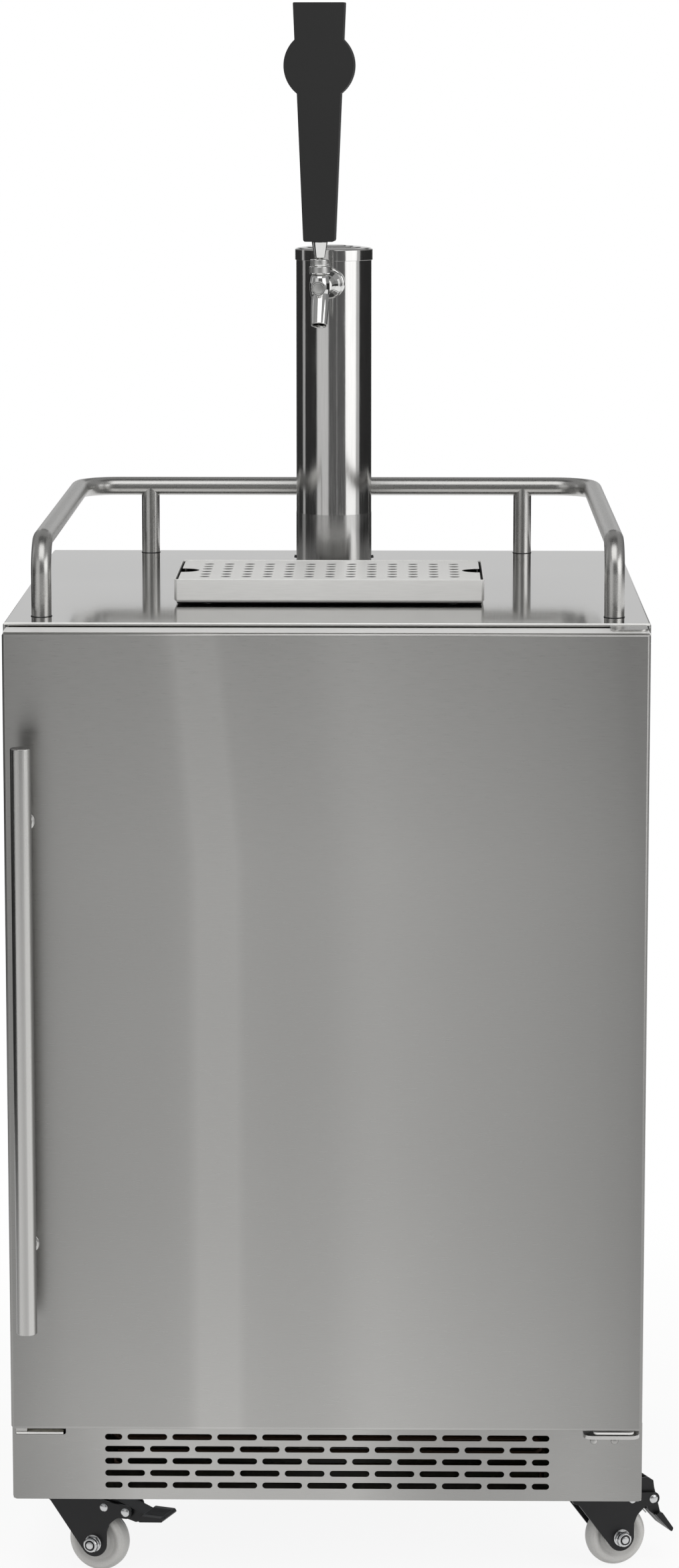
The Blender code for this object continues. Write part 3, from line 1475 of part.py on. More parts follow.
def keg_coupler():
    foot = hump_top + seat_gap
    r, n = coupler_body_radius, coupler_nut_radius
    profile = [(0, coupler_top), (barb_radius, coupler_top), (barb_radius, coupler_top * 0.9),
               (n, coupler_top * 0.86),
               (n, coupler_body), (r, coupler_body - r * 0.2), (r, coupler_foot),
               (coupler_foot_radius, coupler_foot * 0.9),
               (coupler_foot_radius, 0), (0, 0)]
    mesh = moved(turned("keg_coupler", profile, small_sides), (coupler_x, shelf_y, foot))
    body = add_piece("keg_coupler", mesh, chromed, stand)
    z = foot + coupler_gas_rise
    join(body, rod("gas_inlet", (coupler_x, shelf_y, z), (coupler_x + r + barb_length, shelf_y, z),
                   barb_radius, tiny_sides))
    pin = (coupler_x - r - coupler_handle_width, foot + coupler_ear_rise)
    ear_y = coupler_handle_width / 2 + seat_gap
    outline = [(pin[0], pin[1] - coupler_handle_width / 2), (coupler_x, pin[1] - coupler_handle_width),
               (coupler_x, pin[1] + coupler_handle_width),
               *arc(pin, coupler_handle_width / 2, 90, 270, end_steps)]
    for side in (-1, 1):
        ear = sorted((shelf_y + side * ear_y, shelf_y + side * (ear_y + coupler_ear_sheet)))
        join(body, slab("ear", outline, ear[0], ear[1], "XZ"))
    reach = ear_y + coupler_ear_sheet + seat_gap
    join(body, rod("pin", (pin[0], shelf_y - reach, pin[1]), (pin[0], shelf_y + reach, pin[1]),
                   coupler_pin_radius, 8))
    axis = add_empty("coupler_axis", stand, (pin[0], shelf_y, pin[1]))
    end, deep = coupler_handle_length, coupler_handle_depth / 2
    shape = [*arc((0, 0), coupler_handle_width / 2, -90, 60, end_steps), (-end * 0.3, deep * 0.9),
             (-end, deep),
             (-end - deep / 2, 0), (-end, -deep)]
    hole = circle((0, 0), coupler_pin_radius + seat_gap, 8)
    half = coupler_handle_width / 2
    handle = slab("coupler_handle", shape, -half, half, "XZ", [hole])
    handle.transform(Matrix.Rotation(coupler_handle_lift, 4, "Y"))
    add_piece("coupler_handle", handle, matte_black, axis)
    return body


# Assembly

stand = add_empty("stand", None, (stand_x, stand_y, 0))
door_axis = add_empty("door_axis", stand, (hinge_x, hinge_y, door_bottom))
tray_axis = add_empty("tray_axis", stand, (0, tray_front + tray_depth / 2, counter_height))
grate_axis = add_empty("grate_axis", stand, (0, tray_front + tray_depth / 2, counter_height + tray_height))
tap_frame = add_empty("tap_frame", stand, (0, tower_y, shank_height), turn=tap_turn)
tap_pivot = add_empty("tap_pivot", tap_frame, (0, -tap_reach, pivot_height))

side_panel("left_side_panel", -1)
side_panel("right_side_panel", 1)
back_panel()
top_panel()
insulation()
inner_liner()
base_pan()
kick_plate()
compressor_cover()

door_skin()
door_foam()
door_liner()
door_gasket()
door_handle()
hinge_lower_bracket()
hinge_upper_bracket()

guard_rail()
tower_flange()
tower_column()
tower_cap()
shank()
shank_flange()
coupling_nut()
faucet_body()
faucet_bonnet()
faucet_lever()
tap_handle()
drip_tray()
drip_grate()

casters()
compressor()
condenser_coil()
condenser_fan()
evaporator()
evaporator_cover()
evaporator_fan()
floor_plate()
thermostat()
co2_bottle()
regulator()
keg_coupler()
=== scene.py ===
# %% [markdown]
# # A beer dispenser on casters
# This lesson dresses a CAD model of a stainless keg cabinet: a hinged door, a guard rail and a drip tray on the
# counter, and a tower with one tap and a tall handle. The CAD model comes in as a fixed frame. Its flat sheets
# keep their shape and get a finish and soft edges, and each round piece is drawn again, finer, on the same axis.

# %% Load the frame
import json
import math

import bmesh
import bpy
from mathutils import Matrix, Vector


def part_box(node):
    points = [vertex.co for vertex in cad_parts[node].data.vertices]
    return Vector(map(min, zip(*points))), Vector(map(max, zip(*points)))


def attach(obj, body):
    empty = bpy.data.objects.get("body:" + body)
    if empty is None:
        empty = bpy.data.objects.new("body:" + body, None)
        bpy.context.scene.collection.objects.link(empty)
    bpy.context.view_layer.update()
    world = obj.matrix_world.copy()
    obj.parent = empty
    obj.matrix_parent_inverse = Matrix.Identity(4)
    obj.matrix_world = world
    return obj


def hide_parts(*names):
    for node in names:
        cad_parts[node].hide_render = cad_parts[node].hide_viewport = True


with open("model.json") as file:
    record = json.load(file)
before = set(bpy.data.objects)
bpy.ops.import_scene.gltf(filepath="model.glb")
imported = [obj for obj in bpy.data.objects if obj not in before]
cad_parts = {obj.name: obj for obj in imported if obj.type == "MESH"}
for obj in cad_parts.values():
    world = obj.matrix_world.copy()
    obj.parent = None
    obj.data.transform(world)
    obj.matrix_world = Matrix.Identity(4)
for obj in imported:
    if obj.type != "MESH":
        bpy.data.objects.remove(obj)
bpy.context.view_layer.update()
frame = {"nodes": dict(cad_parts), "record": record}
nodes = frame["nodes"]
scene = bpy.context.scene
scene.view_settings.view_transform = "Standard"
left_skin, right_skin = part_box("left_side_panel"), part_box("right_side_panel")
cabinet = Vector(((left_skin[0].x + right_skin[1].x) / 2, left_skin[0].y, 0))
half_width = (right_skin[1].x - left_skin[0].x) / 2
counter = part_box("top_panel")[1].z
cabinet_depth = left_skin[1].y - left_skin[0].y
print("nodes:", len(nodes), "counter height:", round(counter, 4))


def at(x, y, z=0):
    """A place counted from the middle of the cabinet's front plane, on the floor."""
    return cabinet + Vector((x, y, z))


# %% [markdown]
# ## The camera
# The photograph was taken with a long lens from a little above the tower, looking down. The upright edges draw
# together towards the floor, and where they would meet gives the tilt. The side panels stay out of sight and
# the counter shows its whole depth, which gives the distance.

# %% Camera
lens = bpy.data.cameras.new("photo_camera")
lens.sensor_fit = "VERTICAL"
lens.sensor_height = 36
lens.lens = 102.885
camera = bpy.data.objects.new("photo_camera", lens)
camera.location = at(0.0719, -4.1105, 1.4574)
camera.rotation_euler = (math.radians(80.637), 0, math.radians(0.837))
scene.collection.objects.link(camera)
scene.camera = camera
print("camera at", [round(c, 3) for c in camera.location])

# %% [markdown]
# ## A photographer's studio
# Bare steel has next to no colour of its own: it shows the room. So the room matters as much as the metal. A
# studio for steel has a white floor and backdrop, large soft lamps, and dark cards that put the dark bands on
# round pieces. The cards here are there for reflections only, so that they shade nothing and hide nothing.

# %% Floor and backdrop
world = bpy.data.worlds.new("studio")
scene.world = world
world.use_nodes = True
room = world.node_tree
air = room.nodes["Background"]
air.inputs["Color"].default_value = (1, 1, 1, 1)
air.inputs["Strength"].default_value = 0.72
backdrop = room.nodes.new("ShaderNodeBackground")
backdrop.inputs["Color"].default_value = (1, 1, 1, 1)
backdrop.inputs["Strength"].default_value = 1
choice = room.nodes.new("ShaderNodeMixShader")


def seen_directly(tree):
    """One for rays that show the background: from the camera, by reflection and through glass."""
    path = tree.nodes.new("ShaderNodeLightPath")
    total = path.outputs["Is Camera Ray"]
    for name in ("Is Glossy Ray", "Is Transmission Ray"):
        either = tree.nodes.new("ShaderNodeMath")
        either.operation = "MAXIMUM"
        tree.links.new(total, either.inputs[0])
        tree.links.new(path.outputs[name], either.inputs[1])
        total = either.outputs[0]
    return total


room.links.new(seen_directly(room), choice.inputs[0])
room.links.new(air.outputs[0], choice.inputs[1])
room.links.new(backdrop.outputs[0], choice.inputs[2])
room.links.new(choice.outputs[0], room.nodes["World Output"].inputs["Surface"])

floor_half = 14.0
floor_mesh = bpy.data.meshes.new("studio_floor")
floor_mesh.from_pydata([(-floor_half, -floor_half, 0), (floor_half, -floor_half, 0), (floor_half, floor_half, 0),
                        (-floor_half, floor_half, 0)], [], [(0, 1, 2, 3)])
floor = bpy.data.objects.new("studio_floor", floor_mesh)
scene.collection.objects.link(floor)
paper = bpy.data.materials.new("paper_floor")
paper.use_nodes = True
floor_tree = paper.node_tree
floor_shader = floor_tree.nodes["Principled BSDF"]
floor_shader.inputs["Base Color"].default_value = (0.93, 0.93, 0.92, 1)
floor_shader.inputs["Roughness"].default_value = 0.8
spot = floor_tree.nodes.new("ShaderNodeTexCoord")
reach = floor_tree.nodes.new("ShaderNodeVectorMath")
reach.operation = "LENGTH"
fade = floor_tree.nodes.new("ShaderNodeMapRange")
fade.interpolation_type = "SMOOTHSTEP"
fade.inputs["From Min"].default_value = 0.45
fade.inputs["From Max"].default_value = 1.3
fade.inputs["To Min"].default_value = 0.88
both = floor_tree.nodes.new("ShaderNodeMath")
both.operation = "MULTIPLY"
glow = floor_tree.nodes.new("ShaderNodeEmission")
glow.inputs["Color"].default_value = (1, 1, 1, 1)
glow.inputs["Strength"].default_value = 1
blend = floor_tree.nodes.new("ShaderNodeMixShader")
floor_tree.links.new(spot.outputs["Object"], reach.inputs[0])
floor_tree.links.new(reach.outputs["Value"], fade.inputs["Value"])
floor_tree.links.new(fade.outputs["Result"], both.inputs[0])
floor_tree.links.new(seen_directly(floor_tree), both.inputs[1])
floor_tree.links.new(both.outputs[0], blend.inputs[0])
floor_tree.links.new(floor_shader.outputs[0], blend.inputs[1])
floor_tree.links.new(glow.outputs[0], blend.inputs[2])
floor_tree.links.new(blend.outputs[0], floor_tree.nodes["Material Output"].inputs["Surface"])
floor_mesh.materials.append(paper)

# %% Dark cards for reflections
def dark_card(name, corners, grey):
    """A card of an even grey that only shows in reflections."""
    paint = bpy.data.materials.new(name + "_paint")
    paint.use_nodes = True
    shader = paint.node_tree.nodes["Principled BSDF"]
    shader.inputs["Base Color"].default_value = (0, 0, 0, 1)
    shader.inputs["Specular IOR Level"].default_value = 0
    shader.inputs["Emission Color"].default_value = (grey, grey, grey, 1)
    shader.inputs["Emission Strength"].default_value = 1
    mesh = bpy.data.meshes.new(name)
    mesh.from_pydata(corners, [], [tuple(range(i, i + 2)) + (i + 3, i + 2) for i in range(0, len(corners) - 2, 2)])
    mesh.materials.append(paint)
    card = bpy.data.objects.new(name, mesh)
    scene.collection.objects.link(card)
    for sight in ("camera", "diffuse", "transmission", "shadow", "volume_scatter"):
        setattr(card, "visible_" + sight, False)
    return card


def round_card(name, start, end, grey, low=(6.0, 0.0), high=(6.0, 3.6), steps=12):
    """A curved card between two (distance, height). Azimuth 0 is towards the camera, and grows to its right."""
    corners = []
    for k in range(steps + 1):
        angle = math.radians(start + (end - start) * k / steps)
        corners += [(distance * math.sin(angle), -distance * math.cos(angle), height) for distance, height in (low, high)]
    return dark_card(name, corners, grey)


round_card("left_card", -163, -56, 0.035, high=(6.0, 1.3))
round_card("left_high_card", -163, -56, 0.26, low=(6.0, 1.3))
round_card("front_card", -56, 36, 0.13)
round_card("right_card", 36, 163, 0.03, high=(6.0, 1.3))
round_card("right_high_card", 36, 163, 0.26, low=(6.0, 1.3))
round_card("rear_low_card", 163, 197, 0.66)
round_card("seam_card", 9.2, 10.4, 0.5, (5.9, 0.0), (5.9, 3.6), 2)
round_card("floor_card", -163, -70, 0.06, (1.8, 0.004), (5.9, 0.004))
dark_card("ceiling_card", [(-1.5, -6, 3.6), (1.5, -6, 3.6), (-1.5, 1, 3.6), (1.5, 1, 3.6)], 0.07)
dark_card("ceiling_left", [(-6, -6, 3.6), (-1.5, -6, 3.6), (-6, 1, 3.6), (-1.5, 1, 3.6)], 0.35)
dark_card("ceiling_right", [(1.5, -6, 3.6), (6, -6, 3.6), (1.5, 1, 3.6), (6, 1, 3.6)], 0.35)
dark_card("ceiling_rear", [(-6, 1, 3.6), (6, 1, 3.6), (-6, 5, 3.6), (6, 5, 3.6)], 0.35)
dark_card("rear_card", [(-1.2, 5, 2.6), (1.2, 5, 2.6), (-1.2, 5, 3.6), (1.2, 5, 3.6)], 0.05)


# %% Lamps
def soft_lamp(name, azimuth, elevation, distance, width, height, radiance):
    """A soft box that faces the tower. Its brightness is given as what a mirror shows of it."""
    lamp = bpy.data.lights.new(name, "AREA")
    lamp.shape = "RECTANGLE"
    lamp.size, lamp.size_y = width, height
    lamp.energy = radiance * math.pi * width * height
    box = bpy.data.objects.new(name, lamp)
    side, up = math.radians(azimuth), math.radians(elevation)
    target = at(0, 0.25, 0.50)
    way = Vector((math.sin(side) * math.cos(up), -math.cos(side) * math.cos(up), math.sin(up)))
    box.location = target + way * distance
    box.rotation_euler = way.to_track_quat("Z", "Y").to_euler()
    scene.collection.objects.link(box)
    return box


soft_lamp("right_box", 56, 18, 3.4, 2.3, 2.2, 1.6)
soft_lamp("right_fill", 81, 18, 3.4, 0.8, 2.2, 0.6)
soft_lamp("left_box", -35, 16, 3.6, 2.5, 2.2, 0.62)
soft_lamp("left_strip", -106, 15, 3.2, 0.6, 2.2, 0.5)
soft_lamp("overhead_box", 0, 62, 3.0, 2.4, 2.4, 1.5)


# %% [markdown]
# ## How finishes are made
# Each finish starts as a plain shader with its own colour and gloss. Real surfaces are never even, so noise,
# stretched or not, changes the colour and the roughness a little and lifts the surface by hundredths of a
# millimetre. Positions come from the piece itself, so the grain stays put when the piece moves.

# %% Helpers for finishes
def plain_finish(name, colour, roughness, metallic=0, coat=0):
    material = bpy.data.materials.new(name)
    material.use_nodes = True
    shader = material.node_tree.nodes["Principled BSDF"]
    shader.inputs["Base Color"].default_value = (*colour, 1)
    shader.inputs["Roughness"].default_value = roughness
    shader.inputs["Metallic"].default_value = metallic
    shader.inputs["Coat Weight"].default_value = coat
    return material


def shader_of(material):
    return material.node_tree.nodes["Principled BSDF"]


def noise(material, scale, detail=3, kind="ShaderNodeTexNoise"):
    """Noise in the piece's own coordinates, with one scale for each axis."""
    tree = material.node_tree
    place = tree.nodes.new("ShaderNodeTexCoord")
    stretch = tree.nodes.new("ShaderNodeMapping")
    stretch.inputs["Scale"].default_value = scale if isinstance(scale, tuple) else (scale,) * 3
    speckle = tree.nodes.new(kind)
    speckle.inputs["Scale"].default_value = 1
    if kind == "ShaderNodeTexNoise":
        speckle.inputs["Detail"].default_value = detail
    tree.links.new(place.outputs["Object"], stretch.inputs["Vector"])
    tree.links.new(stretch.outputs["Vector"], speckle.inputs["Vector"])
    return speckle.outputs[0]


def mapped(material, value, low, high, start=0.3, end=0.7):
    """value from start to end becomes low to high."""
    tree = material.node_tree
    node = tree.nodes.new("ShaderNodeMapRange")
    for socket, number in (("From Min", start), ("From Max", end), ("To Min", low), ("To Max", high)):
        node.inputs[socket].default_value = number
    tree.links.new(value, node.inputs["Value"])
    return node.outputs["Result"]


def tint(material, value, dark, light):
    """The base colour goes from dark to light with value, on top of what it already was."""
    tree = material.node_tree
    colour = shader_of(material).inputs["Base Color"]
    node = tree.nodes.new("ShaderNodeMix")
    node.data_type = "RGBA"
    node.blend_type = "MULTIPLY"
    node.inputs["Factor"].default_value = 1
    ramp = tree.nodes.new("ShaderNodeMix")
    ramp.data_type = "RGBA"
    ramp.inputs["A"].default_value = (dark, dark, dark, 1) if isinstance(dark, float) else (*dark, 1)
    ramp.inputs["B"].default_value = (light, light, light, 1) if isinstance(light, float) else (*light, 1)
    tree.links.new(value, ramp.inputs["Factor"])
    if colour.is_linked:
        tree.links.new(colour.links[0].from_socket, node.inputs["A"])
    else:
        node.inputs["A"].default_value = colour.default_value
    tree.links.new(ramp.outputs["Result"], node.inputs["B"])
    tree.links.new(node.outputs["Result"], colour)


def roughen(material, value, low, high):
    material.node_tree.links.new(mapped(material, value, low, high), shader_of(material).inputs["Roughness"])


def relief(material, value, depth, strength=1):
    """The surface rises and falls by depth, in metres, on top of any relief it already has."""
    tree = material.node_tree
    bump = tree.nodes.new("ShaderNodeBump")
    bump.inputs["Distance"].default_value = depth
    bump.inputs["Strength"].default_value = strength
    normal = shader_of(material).inputs["Normal"]
    tree.links.new(value, bump.inputs["Height"])
    if normal.is_linked:
        tree.links.new(normal.links[0].from_socket, bump.inputs["Normal"])
    tree.links.new(bump.outputs["Normal"], normal)


# %% [markdown]
# ## Brushed and polished steel
# Sheet steel is brushed along one direction, which leaves fine lines some centimetres long and a tenth of a
# millimetre apart. They smear a reflection across the lines, so a lamp in front of a door brushed from side to
# side shows as a tall soft streak. The anisotropy setting does the same, along the tangent it is given. The
# door's tall streak, its darker sides and its bands, the kick plate's lighter middle and the handle bar's
# light and dark bands are not made so here: they are painted reflection, slow greys laid into the base colour.

# %% Steel finishes
def steel(name, colour, grain, rough, smear=0.0, smear_way=None, cloud=0.05, depth=0.00001, contrast=0.06):
    material = plain_finish(name, colour, sum(rough) / 2, 1)
    shader = shader_of(material)
    lines = noise(material, grain, 4)
    clouds = noise(material, 5, 2)
    tint(material, mapped(material, lines, 0, 1), 1 - contrast, 1.0)
    tint(material, mapped(material, clouds, 0, 1), 1 - cloud, 1.0)
    roughen(material, lines, *rough)
    relief(material, lines, depth, 0.3)
    if smear:
        tree = material.node_tree
        shader.inputs["Anisotropic"].default_value = smear
        way = tree.nodes.new("ShaderNodeCombineXYZ")
        for axis, number in zip("XYZ", smear_way):
            way.inputs[axis].default_value = number
        turn = tree.nodes.new("ShaderNodeVectorTransform")
        turn.vector_type = "VECTOR"
        turn.convert_from, turn.convert_to = "OBJECT", "WORLD"
        tree.links.new(way.outputs["Vector"], turn.inputs["Vector"])
        tree.links.new(turn.outputs["Vector"], shader.inputs["Tangent"])
    return material


steel_grey = (0.53, 0.525, 0.51)
sheet_steel = steel("sheet_steel", steel_grey, (70, 2400, 2400), (0.27, 0.35), 0.8, (0, 0, 1))
door_steel = steel("door_steel", (0.56, 0.555, 0.54), (70, 2400, 2400), (0.27, 0.35), 0.8, (0, 0, 1), cloud=0.02)
kick_steel = steel("kick_steel", (0.58, 0.575, 0.56), (70, 2400, 2400), (0.27, 0.35), 0.8, (0, 0, 1), cloud=0.12)
counter_steel = steel("counter_steel", (0.60, 0.597, 0.587), (60, 900, 60), (0.05, 0.09), cloud=0.06, contrast=0.02)
tray_steel = steel("tray_steel", (0.88, 0.875, 0.855), (60, 900, 900), (0.34, 0.44), cloud=0.06, contrast=0.04)
shader_of(tray_steel).inputs["Metallic"].default_value = 0.4
# Near-black steel for the tray's inside: painted shade, so the grate's holes show dark.
painted_shade_steel = steel("painted_shade_steel", (0.05, 0.05, 0.05), (200, 200, 200), (0.4, 0.55), cloud=0.2)
film_steel = steel("film_steel", (0.58, 0.575, 0.565), (500, 500, 25), (0.15, 0.24), cloud=0.2, contrast=0.16)
side_steel = steel("side_steel", steel_grey, (2400, 70, 2400), (0.27, 0.35), 0.75, (0, 0, 1))
rail_steel = steel("rail_steel", (0.56, 0.555, 0.54), (900, 900, 900), (0.26, 0.33), depth=0.000001)
tower_steel = steel("tower_steel", (0.64, 0.635, 0.625), (900, 900, 25), (0.09, 0.15), depth=0.000004, contrast=0.08)
bar_steel = steel("bar_steel", (0.60, 0.595, 0.58), (1200, 1200, 30), (0.20, 0.28))
chrome = steel("chrome", (0.74, 0.74, 0.73), (300, 300, 300), (0.04, 0.08), depth=0.000002, contrast=0.03)
zinc_sheet = steel("zinc_sheet", (0.52, 0.535, 0.55), (90, 90, 90), (0.34, 0.5), cloud=0.12, depth=0.00001)
zinc_bright = steel("zinc_bright", (0.62, 0.625, 0.63), (400, 400, 400), (0.2, 0.34), depth=0.00001)
cast_steel = steel("cast_steel", (0.45, 0.45, 0.455), (260, 260, 260), (0.32, 0.5), cloud=0.1, depth=0.00004)
# Copper darkened nearly to black: painted shade, so the coil seen through the kick plate's slots stays dark.
shade_dark_copper = steel("shade_dark_copper", (0.11, 0.075, 0.06), (300, 300, 300), (0.4, 0.6), cloud=0.3)


def painted_reflection(material, axis, stops, sway=0.0):
    """Painted reflection: slow lighter and darker streaks, greys at places from 0 to 1 across the whole piece."""
    tree = material.node_tree
    place = tree.nodes.new("ShaderNodeTexCoord")
    parts = tree.nodes.new("ShaderNodeSeparateXYZ")
    tree.links.new(place.outputs["Generated"], parts.inputs["Vector"])
    value = parts.outputs[axis]
    if sway:
        rise = mapped(material, parts.outputs["Z"], 0, sway, 0.72, 1.0)
        bend = tree.nodes.new("ShaderNodeMath")
        bend.operation = "ADD"
        tree.links.new(value, bend.inputs[0])
        tree.links.new(rise, bend.inputs[1])
        value = bend.outputs[0]
    ramp = tree.nodes.new("ShaderNodeValToRGB")
    ramp.color_ramp.interpolation = "B_SPLINE"
    for k, (where, grey) in enumerate(stops):
        stop = ramp.color_ramp.elements[k] if k < 2 else ramp.color_ramp.elements.new(where)
        stop.position, stop.color = where, (grey, grey, grey, 1)
    tree.links.new(value, ramp.inputs["Fac"])
    colour = shader_of(material).inputs["Base Color"]
    node = tree.nodes.new("ShaderNodeMix")
    node.data_type, node.blend_type = "RGBA", "MULTIPLY"
    node.inputs["Factor"].default_value = 1
    tree.links.new(colour.links[0].from_socket, node.inputs["A"])
    tree.links.new(ramp.outputs["Color"], node.inputs["B"])
    tree.links.new(node.outputs["Result"], colour)


# Painted reflection on the door: a light streak a third of the way across, bent near the top, a lighter patch right of
# the middle and darker sides; then darker a third of the way up and lighter towards the top.
painted_reflection(door_steel, "X", [(0.0, 0.58), (1.0, 0.58), (0.04, 0.66), (0.10, 0.77), (0.2, 0.82), (0.28, 0.82), (0.315, 1.13),
                         (0.345, 1.13), (0.375, 0.86), (0.5, 0.88), (0.56, 0.99), (0.62, 0.96), (0.72, 0.87), (0.82, 0.82),
                         (0.92, 0.72), (0.97, 0.66)], sway=0.035)
painted_reflection(door_steel, "Z", [(0.0, 0.98), (1.0, 1.08), (0.12, 0.95), (0.3, 0.87), (0.6, 0.95), (0.8, 1.04)])
# Painted reflection on the kick plate: lighter left of the middle, darker towards the ends.
painted_reflection(kick_steel, "X", [(0.0, 0.58), (1.0, 0.62), (0.1, 0.74), (0.2, 0.96), (0.3, 1.5), (0.42, 1.52), (0.55, 0.92),
                         (0.68, 0.66), (0.9, 0.78)])
# Painted reflection on the handle bar: dark at both sides, with two light bands between.
painted_reflection(bar_steel, "X", [(0.0, 0.25), (1.0, 0.40), (0.12, 0.35), (0.22, 1.0), (0.45, 0.70), (0.62, 0.72), (0.72, 1.25),
                        (0.9, 0.9)])


# %% [markdown]
# ## Paint, plastic and rubber
# Forks and the tap handle are black but not alike: the forks have a hard enamel with the faint waves of a
# dipped coat, and the handle is sprayed matt. The wheels are pale grey rubber.

# %% Other finishes
def coated(name, colour, rough, grain, depth, cloud=0.1, coat=0):
    material = plain_finish(name, colour, sum(rough) / 2, 0, coat)
    speckle, clouds = noise(material, grain, 3), noise(material, 9, 3)
    tint(material, mapped(material, speckle, 0, 1), 0.9, 1.0)
    tint(material, mapped(material, clouds, 0, 1), 1 - cloud, 1.0)
    roughen(material, clouds, *rough)
    relief(material, speckle, depth, 0.6)
    return material


fork_enamel = coated("fork_enamel", (0.010, 0.010, 0.011), (0.28, 0.42), 260, 0.00012, 0.2)
shader_of(fork_enamel).inputs["Specular IOR Level"].default_value = 0.3
pump_enamel = coated("pump_enamel", (0.022, 0.022, 0.023), (0.32, 0.5), 200, 0.00015, 0.2)
handle_black = coated("handle_black", (0.022, 0.022, 0.022), (0.55, 0.65), 1500, 0.00003, 0.08)
shader_of(handle_black).inputs["Specular IOR Level"].default_value = 0.2
wheel_rubber = coated("wheel_rubber", (0.58, 0.572, 0.555), (0.42, 0.58), 800, 0.00004, 0.1)
liner_white = coated("liner_white", (0.74, 0.75, 0.76), (0.3, 0.42), 420, 0.00006, 0.04)
seal_black = coated("seal_black", (0.04, 0.04, 0.042), (0.5, 0.7), 700, 0.00004, 0.15)
foam_yellow = coated("foam_yellow", (0.78, 0.70, 0.48), (0.8, 0.95), 500, 0.0003, 0.2)
bottle_grey = coated("bottle_grey", (0.58, 0.59, 0.60), (0.26, 0.4), 500, 0.00004, 0.05, 0.3)
knob_black = coated("knob_black", (0.025, 0.025, 0.026), (0.35, 0.5), 900, 0.00004, 0.1)

slot_finish = {
    "brushed_stainless": sheet_steel, "polished_stainless": rail_steel, "chromed_brass": chrome,
    "zinc_steel": zinc_sheet, "black_enamel": fork_enamel, "matte_black": knob_black,
    "grey_tyre": wheel_rubber, "liner_plastic": liner_white, "seal_rubber": seal_black, "foam": foam_yellow,
    "copper": shade_dark_copper, "cast_metal": cast_steel, "bottle_paint": bottle_grey,
}
print("finishes:", len(bpy.data.materials))


# %% [markdown]
# ## Dressing the CAD sheets
# The imported sheets keep every vertex. A weld joins the split corners that the file format makes, a bevel
# rounds each fold and cut edge by a few tenths of a millimetre so that it catches the light, and weighted
# normals keep the flat faces flat.

# %% Dress the nodes
def soften(obj, width, segments=2):
    weld = obj.modifiers.new("weld", "WELD")
    weld.merge_threshold = 0.00001
    bevel = obj.modifiers.new("edge", "BEVEL")
    bevel.width = width
    bevel.segments = segments
    bevel.limit_method = "ANGLE"
    bevel.angle_limit = math.radians(38)
    bevel.use_clamp_overlap = True
    obj.modifiers.new("normals", "WEIGHTED_NORMAL").keep_sharp = True


def dress(name, material, width=0.0004, segments=2):
    node = nodes[name]
    node.data.materials.clear()
    node.data.materials.append(material)
    for face in node.data.polygons:
        face.use_smooth = True
        face.material_index = 0
    soften(node, width, segments)


record = frame["record"]
slot_of = {part["node"]: part["material_slot"] for part in record["subparts"]}
special = {"left_side_panel": side_steel, "right_side_panel": side_steel, "top_panel": counter_steel,
           "tap_handle": handle_black, "tower_column": tower_steel, "tower_cap": tower_steel,
           "tower_flange": tower_steel, "door_handle_bar": bar_steel, "compressor": pump_enamel,
           "drip_tray": tray_steel, "door_skin": door_steel}
for name, node in nodes.items():
    material = special.get(name) or slot_finish[slot_of.get(name, "brushed_stainless")]
    dress(name, material)
print("dressed:", len(nodes), "without a slot:", [n for n in nodes if n not in slot_of])

# %% [markdown]
# ## Three ways to draw a piece
# Nearly every piece here is made on a machine, so the helpers copy the machines. A lathe turns a profile about
# an axis, a bender draws a tube along a bent line, and a punch cuts a plate with its holes. Each drawn corner
# gets a true arc first, because no real edge is sharp and a rounded one catches a thread of light.

# %% Helpers for shapes
steel_sheet = 0.0010
seat_gap = 0.0003
facing = Matrix.Rotation(math.radians(90), 4, "X")


def filleted(points, radius, steps=5, closed=False):
    """Each corner becomes an arc of that radius, or of as much as fits. radius may be a list, one per point."""
    points = [Vector((*p, 0)) if len(p) == 2 else Vector(p) for p in points]
    line = []
    for i, corner in enumerate(points):
        r = radius[i] if isinstance(radius, (list, tuple)) else radius
        ends = not closed and i in (0, len(points) - 1)
        back, ahead = points[i - 1] - corner, points[(i + 1) % len(points)] - corner
        half = 0 if ends else back.angle(ahead) / 2
        if ends or not r or not math.radians(2) < half < math.radians(88):
            line.append(corner)
            continue
        setback = min(r / math.tan(half), 0.49 * min(back.length, ahead.length))
        r = setback * math.tan(half)
        u, v = back.normalized(), ahead.normalized()
        centre = corner + (u + v).normalized() * r / math.sin(half)
        a, b = corner + u * setback - centre, corner + v * setback - centre
        sweep = math.pi - 2 * half
        for k in range(steps + 1):
            t = k / steps
            line.append(centre + (a * math.sin((1 - t) * sweep) + b * math.sin(t * sweep)) / math.sin(sweep))
    return line


def ring_of(centre, radius, sides=24, start=0.0):
    return [(centre[0] + radius * math.cos(start + math.tau * k / sides),
             centre[1] + radius * math.sin(start + math.tau * k / sides)) for k in range(sides)]


def tidy_mesh(mesh, place):
    """Joined corners, outward faces, and set in its place."""
    bm = bmesh.new()
    bm.from_mesh(mesh)
    bmesh.ops.remove_doubles(bm, verts=bm.verts, dist=0.000002)
    bmesh.ops.dissolve_degenerate(bm, edges=bm.edges, dist=0.000001)
    bmesh.ops.recalc_face_normals(bm, faces=bm.faces)
    bm.to_mesh(mesh)
    bm.free()
    mesh.transform(place)
    return mesh


